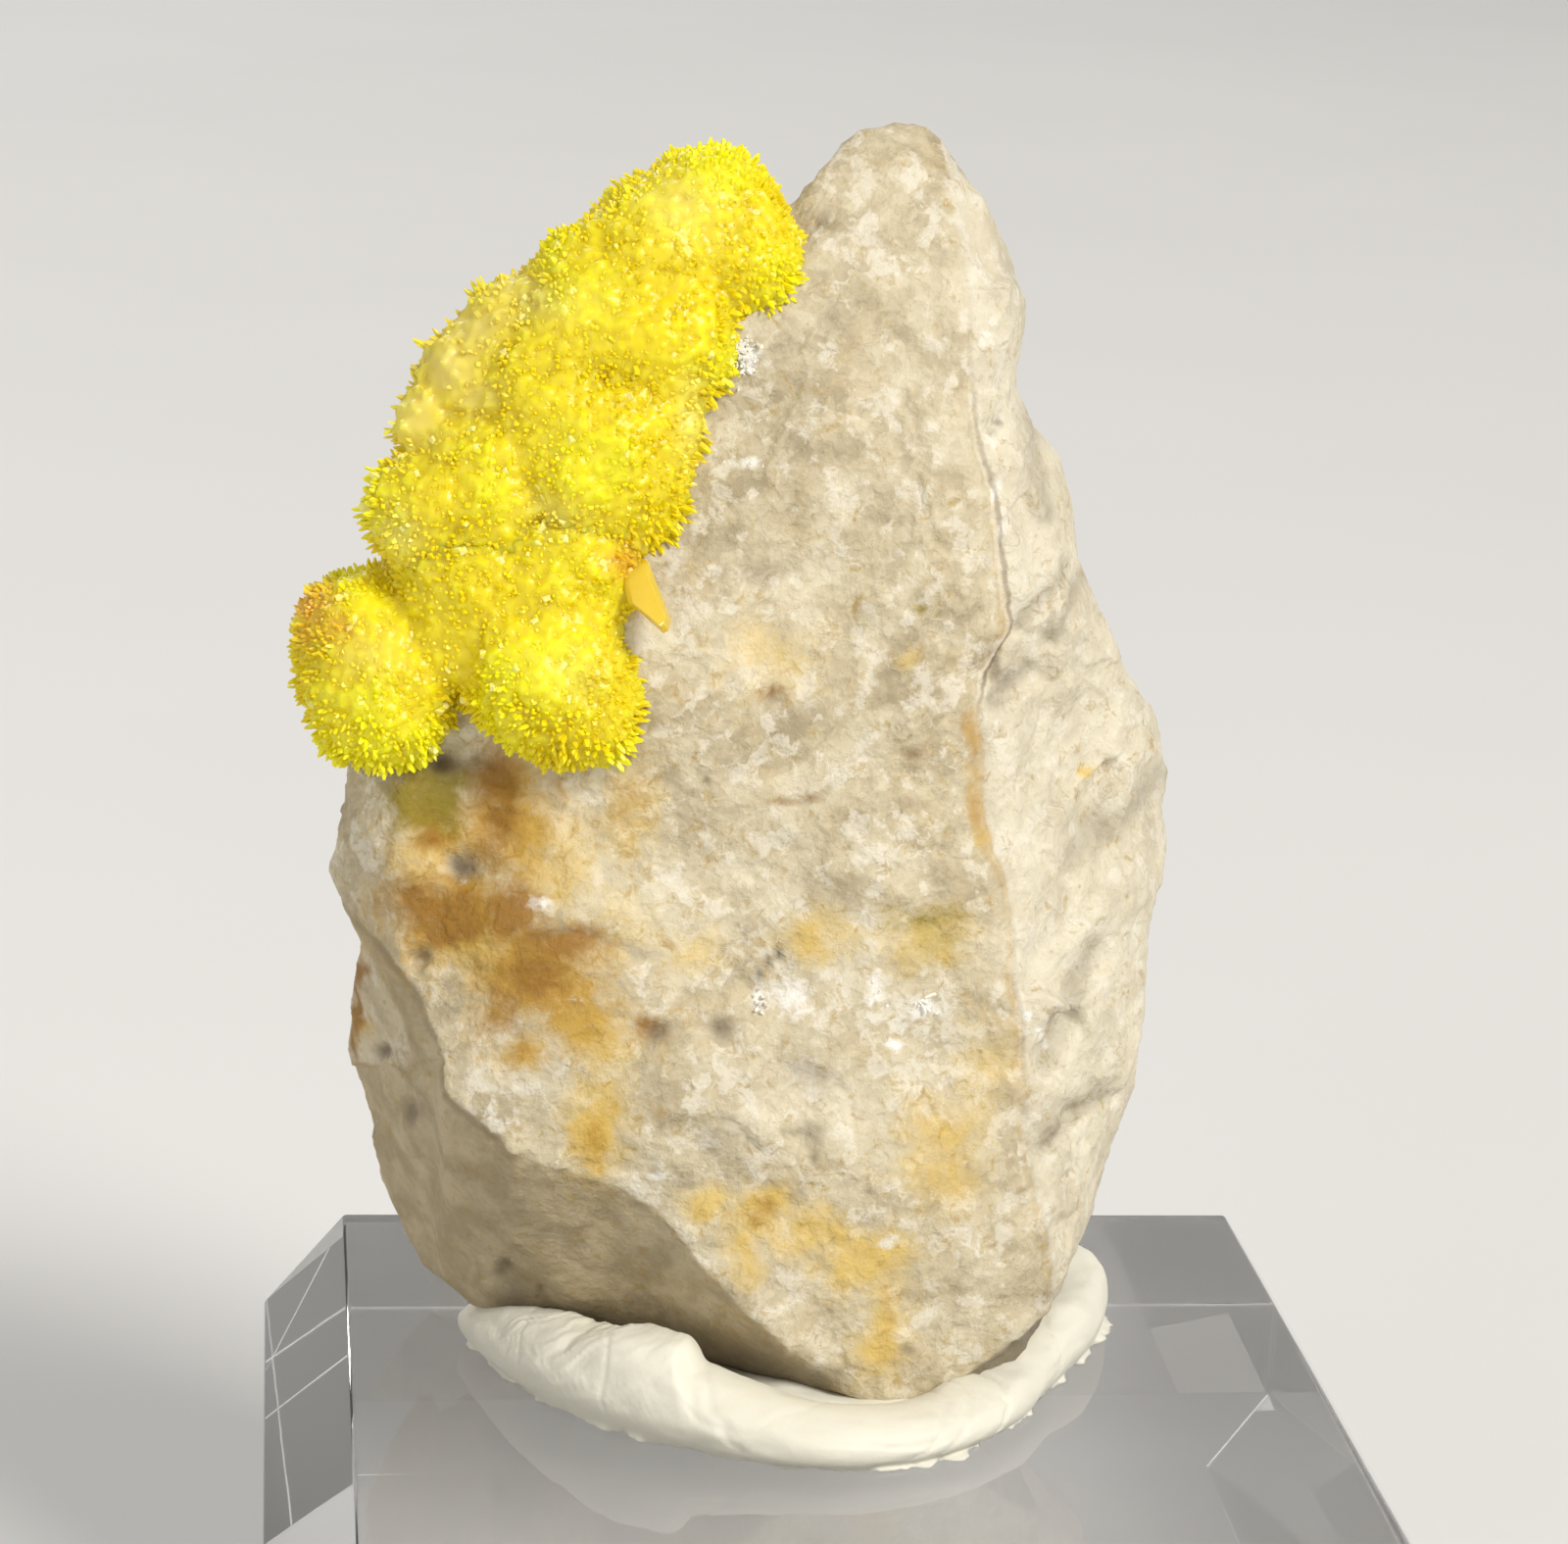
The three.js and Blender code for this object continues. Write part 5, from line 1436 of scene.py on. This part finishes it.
class SPECIMEN_OT_blade(bpy.types.Operator):
    """Builds the single flat amber crystal at the crust's right edge"""
    bl_idname = "specimen.build_blade"
    bl_label = "Amber Blade"

    def execute(self, context):
        settings = context.scene.specimen_blade
        u, w = BLADE_OUTLINE.T
        lift = BLADE_LIFT + BLADE_TILT * (w[0] - w)
        under = front_depth(u, w) - lift
        drawn_in = [value.mean() + BLADE_FACE * (value - value.mean()) for value in (u, w)]
        rings = np.concatenate([place(*drawn_in, under - BLADE_THICK), place(u, w, under)])
        sides = len(u)
        here = np.arange(sides)
        after = (here + 1) % sides
        fan = np.arange(1, sides - 1)
        faces = np.concatenate([
            np.stack([0 * fan, fan + 1, fan], -1), np.stack([0 * fan, fan, fan + 1], -1) + sides,
            np.stack([here, after, after + sides], -1), np.stack([here, after + sides, here + sides], -1),
        ])
        blade = new_piece("amber_blade_crystal", rings, faces, blade_finish(settings), False)
        soften_edges(blade, settings.edge)
        keep_piece(blade, "amber_crystal", "amber_blade")
        return {"FINISHED"}


def druse_needles(draw):
    """The white crystals: stubby needles scattered over their spots, out from the stone's face there.
    Returns the points and triangles."""
    spots = np.array(DRUSE_SPOTS)
    of_spot = np.repeat(np.arange(len(spots)), spots[:, 4].astype(int))
    shift = draw.normal(0, DRUSE_SCATTER, (len(of_spot), 2))
    u = spots[of_spot, 0] + spots[of_spot, 2] * shift[:, 0]
    w = spots[of_spot, 1] + spots[of_spot, 3] * shift[:, 1]
    feet = place(u, w, front_depth(u, w) + DRUSE_SUNK)
    face = place(u, w, front_depth(u, w))
    along_u = place(u + DRUSE_STEP, w, front_depth(u + DRUSE_STEP, w)) - face
    along_w = place(u, w + DRUSE_STEP, front_depth(u, w + DRUSE_STEP)) - face
    normals = np.cross(along_u, along_w)
    normals /= np.linalg.norm(normals, axis=1)[:, None]
    lengths = draw.uniform(*DRUSE_LENGTH, len(feet))
    widths = draw.uniform(*DRUSE_WIDTH, len(feet))
    return needle_mesh(feet, normals, lengths, widths, DRUSE_LEAN, draw)


def druse_finish(settings):
    """Small clear-white crystals, a little rough."""
    finish = Finish("white_crystal", {"Base Color": settings.white, "Roughness": 0.45, "IOR": 1.46})
    finish.relief((finish.noise(0.08, 2), 0.01, 0.3))
    return finish.material


class SPECIMEN_OT_druse(bpy.types.Operator):
    """Scatters small white crystals over the stone's frosted places"""
    bl_idname = "specimen.build_druse"
    bl_label = "White Druse"

    def execute(self, context):
        settings = context.scene.specimen_druse
        points, faces = druse_needles(np.random.default_rng(DRUSE_SEED))
        druse = new_piece("white_druse", points, faces, druse_finish(settings), False)
        keep_piece(druse, "pale_stone")
        return {"FINISHED"}


def route_points(t):
    """The putty's route at shares t from 0 to 1, with its half width and height: a cubic from station to
    station, whose slope at each is half the step from the station before it to the one after."""
    first, last = 2 * PUTTY_ROUTE[0] - PUTTY_ROUTE[1], 2 * PUTTY_ROUTE[-1] - PUTTY_ROUTE[-2]
    knots = np.concatenate([[first], PUTTY_ROUTE, [last]])
    stations = len(PUTTY_ROUTE) - 1
    k = np.minimum((t * stations).astype(int), stations - 1)
    f = (t * stations - k)[:, None]
    a, b, c, d = (knots[k + i] for i in range(4))
    return 0.5 * (2 * b + (c - a) * f + (2 * a - 5 * b + 4 * c - d) * f**2 + (3 * (b - c) + d - a) * f**3)


def quarter_round(distance, reach):
    """Rises from 0 to 1 over a reach as a quarter circle: sqrt(1 - (1 - distance / reach) squared)."""
    return np.sqrt(np.clip(1 - (1 - np.minimum(distance / reach, 1)) ** 2, 0, 1))


def tack_growth(s, phi, warp, ring, settings):
    """How much the roll's section is swollen, at the place s along it and the turn phi round it: slow
    swellings, kneading lines that curve round it, creases across it and a fold along it."""
    swollen = rough_noise(ring, *PUTTY_SWELL_NOISE).reshape(s.shape)
    over = phi - PUTTY_CREST
    across_lines = (s + LINE_CURVE * over**2 + LINE_WARP * warp) / LINE_SPACE
    along_lines = (LINE_STRETCH * phi - LINE_SLANT * s) / LINE_STRETCH
    lines = rough_noise(np.stack([across_lines, along_lines, 0 * s], -1).reshape(-1, 3), *LINE_NOISE)
    kneaded = sum(strength * bump(s - at, reach) for at, reach, strength in KNEADED)
    lines = lines.reshape(s.shape) * kneaded
    creases = np.zeros(s.shape)
    for at, slant, deep, reach in PUTTY_CREASES:
        creases -= deep * bump(s - at - slant * over - CREASE_WARP * warp, reach)
    folds = bump(phi - FOLD["at"] - FOLD["warp"] * warp - FOLD["slant"] * s, FOLD["wide"])
    folds *= 0.5 + 0.5 * np.sin(FOLD["waves"] * s)
    relief = settings.striation / MM * lines + creases - FOLD["deep"] * folds
    return 1 + PUTTY_SWELL * swollen + relief / PUTTY_RADIUS


def tack_roll(settings):
    """The putty roll: an oval, flat underneath, carried along its route, with its half width and height
    times how much it is swollen there. A lobe stands on its left part, and a thin ragged lip spreads over
    the base. Returns the points and triangles, with each end closed by a fan."""
    route = route_points(np.linspace(0, 1, PUTTY_STEPS))
    centre, half, height = route[:, :2], route[:, 2], route[:, 3]
    ahead = np.gradient(centre, axis=0)
    span = np.linalg.norm(ahead, axis=1)
    run = np.concatenate([[0], np.cumsum(span[1:])])
    ahead /= span[:, None]
    ends = quarter_round(run, LEFT_ROUND) * quarter_round(run[-1] - run, RIGHT_ROUND)
    half = half * ends
    height = height * np.sqrt(ends)

    turn = 2 * np.pi * np.arange(PUTTY_SIDES) / PUTTY_SIDES
    s, phi = np.meshgrid(run, turn, indexing="ij")
    side = np.sign(np.cos(phi)) * np.abs(np.cos(phi)) ** SECTION_SQUARE
    lift = np.clip(SECTION_MIDDLE + SECTION_LIFT * np.sin(phi), 0, None)
    ring = np.stack([s, PUTTY_TUBE * np.cos(phi), PUTTY_TUBE * np.sin(phi)], -1).reshape(-1, 3)
    warp = rough_noise(ring, *PUTTY_WARP_NOISE).reshape(s.shape)
    grow = tack_growth(s, phi, warp, ring, settings)
    over = phi - PUTTY_CREST
    lobe = 1 - smooth_step(s - LOBE["slant"] * over + LOBE["warp"] * warp, *LOBE["end"])
    lobe *= smooth_step(s, *LOBE["start"]) * smooth_step(np.sin(phi), 0, LOBE["side"])
    torn = np.stack([s / LIP_SPACE[0], phi / LIP_SPACE[1], 0 * s], -1).reshape(-1, 3)
    torn = rough_noise(torn, *LIP_NOISE).reshape(s.shape)
    lip = settings.lip / MM * bump(lift, LIP_HEIGHT) * np.sign(np.cos(phi))
    lip *= LIP_LEAST + LIP_WARP * warp + LIP_RAGGED * torn
    sideways = half[:, None] * side * grow + lip * ends[:, None]
    upward = height[:, None] * lift * grow + settings.lobe / MM * lobe * lift
    x = centre[:, 0:1] - ahead[:, 1:2] * sideways
    y = centre[:, 1:2] + ahead[:, 0:1] * sideways
    points = np.stack([x, y, BASE_TOP + PUTTY_FLOOR + upward], -1)
    hubs = points[[0, -1]].mean(axis=1)
    here = np.arange(PUTTY_SIDES)
    after = (here + 1) % PUTTY_SIDES
    last = (PUTTY_STEPS - 1) * PUTTY_SIDES
    hub = PUTTY_STEPS * PUTTY_SIDES
    faces = grid_triangles(PUTTY_STEPS, PUTTY_SIDES, wrap=True)
    caps = [fan_triangles(after, here, hub), fan_triangles(last + here, last + after, hub + 1)]
    return np.concatenate([points.reshape(-1, 3), hubs]), np.concatenate([faces, *caps])


def tack_pad():
    """The pad under the stone: a ball's upper half spread to an oval, its radius and its height each
    raised to a power, with a waved edge, a flat underside and an uneven top."""
    directions, faces = ball_grid(PAD_RINGS, PAD_AROUND)
    flat = np.hypot(directions[:, 0], directions[:, 1])
    turn = np.arctan2(directions[:, 1], directions[:, 0])
    rim = 1 + sum(high * np.sin(waves * turn + begin) for high, waves, begin in PAD_WAVES)
    radius = rim * flat**PAD_SIDES
    x = PAD["x"] + PAD["half_wide"] * radius * np.cos(turn)
    y = PAD["y"] + PAD["half_deep"] * radius * np.sin(turn)
    uneven = 1 + PAD_UNEVEN * rough_noise(np.stack([x, y, 0 * x], -1), *PAD_NOISE)
    z = PAD["height"] * np.maximum(0, directions[:, 2]) ** PAD_TOP * uneven
    return np.stack([x, y, BASE_TOP + PUTTY_FLOOR + z], -1), faces


def tack_finish(settings):
    """White putty: matt, a little waxy, with faint handled patches."""
    finish = Finish("white_tack", {
        "Specular IOR Level": 0.4,
        "Subsurface Weight": 0.2,
        "Subsurface Radius": (1.0, 0.9, 0.8),
        "Subsurface Scale": 0.0006,
    })
    handled = finish.noise(2.2, 5, 0.6, 0.4)
    fine = finish.noise(0.35, 5, 0.6)
    finish.set("Base Color", finish.mix(finish.span(handled, 0.52, 0.8, 0, 0.35), settings.white,
                                        settings.shade))
    finish.set("Roughness", finish.span(fine, 0.3, 0.7, 0.5, 0.72))
    finish.relief((finish.noise(0.9, 5, 0.55), 0.1, 0.5), (fine, 0.03, 0.5))
    return finish.material


class SPECIMEN_OT_tack(bpy.types.Operator):
    """Builds the white putty that holds the stone upright"""
    bl_idname = "specimen.build_tack"
    bl_label = "Putty"

    def execute(self, context):
        settings = context.scene.specimen_tack
        roll, roll_faces = tack_roll(settings)
        pad, pad_faces = tack_pad()
        points = np.concatenate([roll, pad])
        faces = np.concatenate([roll_faces, pad_faces + len(roll)])
        tack = new_piece("mineral_tack_roll", points, faces, tack_finish(settings))
        keep_piece(tack, "white_putty", "mineral_tack")
        return {"FINISHED"}


def base_finish(settings):
    """Polished clear acrylic with the faintest waviness."""
    finish = Finish("clear_acrylic_block", {
        "Base Color": (1, 1, 1, 1),
        "Roughness": settings.roughness,
        "IOR": 1.49,
        "Transmission Weight": 1.0,
    })
    finish.relief((finish.noise(4.0, 2), 0.01, 0.1))
    return finish.material


class SPECIMEN_OT_base(bpy.types.Operator):
    """Builds the clear bevelled block"""
    bl_idname = "specimen.build_base"
    bl_label = "Clear Base"

    def execute(self, context):
        settings = context.scene.specimen_base
        square = np.array([(-1, -1), (1, -1), (1, 1), (-1, 1)])
        levels = [(BASE_HALF, 0), (BASE_HALF, BASE_TOP - BEVEL_HIGH), (BASE_HALF - BEVEL_WIDE, BASE_TOP)]
        points = np.concatenate([np.column_stack([square * half, np.full(4, z)]) for half, z in levels])
        sides = [[4 * r + k, 4 * r + (k + 1) % 4, 4 * r + 4 + (k + 1) % 4, 4 * r + 4 + k]
                 for r in range(2) for k in range(4)]
        faces = np.array([[3, 2, 1, 0], *sides, [8, 9, 10, 11]])
        block = new_piece("clear_base", points, faces, base_finish(settings), False)
        soften_edges(block, settings.edge)
        keep_piece(block, "clear_acrylic", "acrylic_base")
        return {"FINISHED"}


def area_light(name, at, size, power, tint):
    """A square soft light at a point, turned to the specimen's middle."""
    light = bpy.data.lights.new(name, "AREA")
    light.shape = "SQUARE"
    light.size = size * MM
    light.energy = power
    light.color = tint
    lamp = bpy.data.objects.new(name, light)
    bpy.context.scene.collection.objects.link(lamp)
    ahead = np.array(LIGHTS_AIM, float) - np.array(at, float)
    ahead /= np.linalg.norm(ahead)
    side = np.cross(ahead, (0, 0, 1))
    side /= np.linalg.norm(side)
    turn = Matrix(np.column_stack([side, np.cross(side, ahead), -ahead]).tolist()).to_4x4()
    lamp.matrix_world = Matrix.Translation(np.array(at) * MM) @ turn


class SPECIMEN_OT_stage(bpy.types.Operator):
    """Sets the floor, the lights and the camera"""
    bl_idname = "specimen.set_stage"
    bl_label = "Stage"

    def execute(self, context):
        scene = context.scene
        settings = scene.specimen_stage
        corners = np.array([(-1, -1, 0), (1, -1, 0), (1, 1, 0), (-1, 1, 0)]) * FLOOR_HALF
        corners[:, 2] = -FLOOR_GAP
        finish = Finish("pale_floor", {"Roughness": 0.6, "Specular IOR Level": 0.3})
        darker = tuple(FLOOR_DRIFT * c for c in settings.floor[:3]) + (1,)
        finish.set("Base Color", finish.mix(finish.noise(60, 3), settings.floor, darker))
        floor = new_piece("floor", corners, np.array([[0, 1, 2, 3]]), finish.material, False)

        for name, at, size, power, tint in LIGHTS:
            area_light(name, at, size, getattr(settings, power), tint)
        world = bpy.data.worlds.new("soft_room")
        world.use_nodes = True
        background = world.node_tree.nodes["Background"]
        background.inputs["Color"].default_value = ROOM_TINT
        background.inputs["Strength"].default_value = ROOM_STRENGTH
        scene.world = world
        scene.view_settings.view_transform = "Standard"

        lens = bpy.data.cameras.new("camera")
        lens.lens = LENS
        lens.sensor_width = SENSOR
        lens.clip_start, lens.clip_end = SEEN
        camera = bpy.data.objects.new("camera", lens)
        scene.collection.objects.link(camera)
        axes = np.column_stack([CAMERA_RIGHT, -np.array(CAMERA_DOWN), -np.array(CAMERA_AHEAD)])
        camera.matrix_world = Matrix.Translation(np.array(CAMERA_AT) * MM) @ Matrix(axes.tolist()).to_4x4()
        scene.camera = camera
        return {"FINISHED"}


class SPECIMEN_PT_panel(bpy.types.Panel):
    """Lists the specimen's pieces and their sizes"""
    bl_label = "Creedite Specimen"
    bl_idname = "SPECIMEN_PT_panel"
    bl_space_type = "VIEW_3D"
    bl_region_type = "UI"
    bl_category = "Specimen"

    def draw(self, context):
        for operator, group in PIECES:
            box = self.layout.box()
            box.operator(operator)
            settings = getattr(context.scene, group)
            for key in settings.bl_rna.properties.keys():
                if key not in ("rna_type", "name"):
                    box.prop(settings, key)


PIECES = (
    ("specimen.set_stage", "specimen_stage"),
    ("specimen.build_base", "specimen_base"),
    ("specimen.build_tack", "specimen_tack"),
    ("specimen.build_stone", "specimen_stone"),
    ("specimen.build_druse", "specimen_druse"),
    ("specimen.build_crust", "specimen_crust"),
    ("specimen.build_blade", "specimen_blade"),
)
GROUPS = {
    "specimen_stage": StageSettings,
    "specimen_base": BaseSettings,
    "specimen_tack": TackSettings,
    "specimen_stone": StoneSettings,
    "specimen_druse": DruseSettings,
    "specimen_crust": CrustSettings,
    "specimen_blade": BladeSettings,
}
CLASSES = (
    *GROUPS.values(), SPECIMEN_OT_stage, SPECIMEN_OT_base, SPECIMEN_OT_tack, SPECIMEN_OT_stone,
    SPECIMEN_OT_druse, SPECIMEN_OT_crust, SPECIMEN_OT_blade, SPECIMEN_PT_panel,
)


def register():
    for cls in CLASSES:
        bpy.utils.register_class(cls)
    for name, group in GROUPS.items():
        setattr(bpy.types.Scene, name, PointerProperty(type=group))


def unregister():
    for name in GROUPS:
        delattr(bpy.types.Scene, name)
    for cls in reversed(CLASSES):
        bpy.utils.unregister_class(cls)


def main():
    """Builds every piece in order."""
    register()
    bpy.ops.specimen.set_stage()
    bpy.ops.specimen.build_base()
    bpy.ops.specimen.build_tack()
    bpy.ops.specimen.build_stone()
    bpy.ops.specimen.build_druse()
    bpy.ops.specimen.build_crust()
    bpy.ops.specimen.build_blade()


if __name__ == "__main__":
    main()
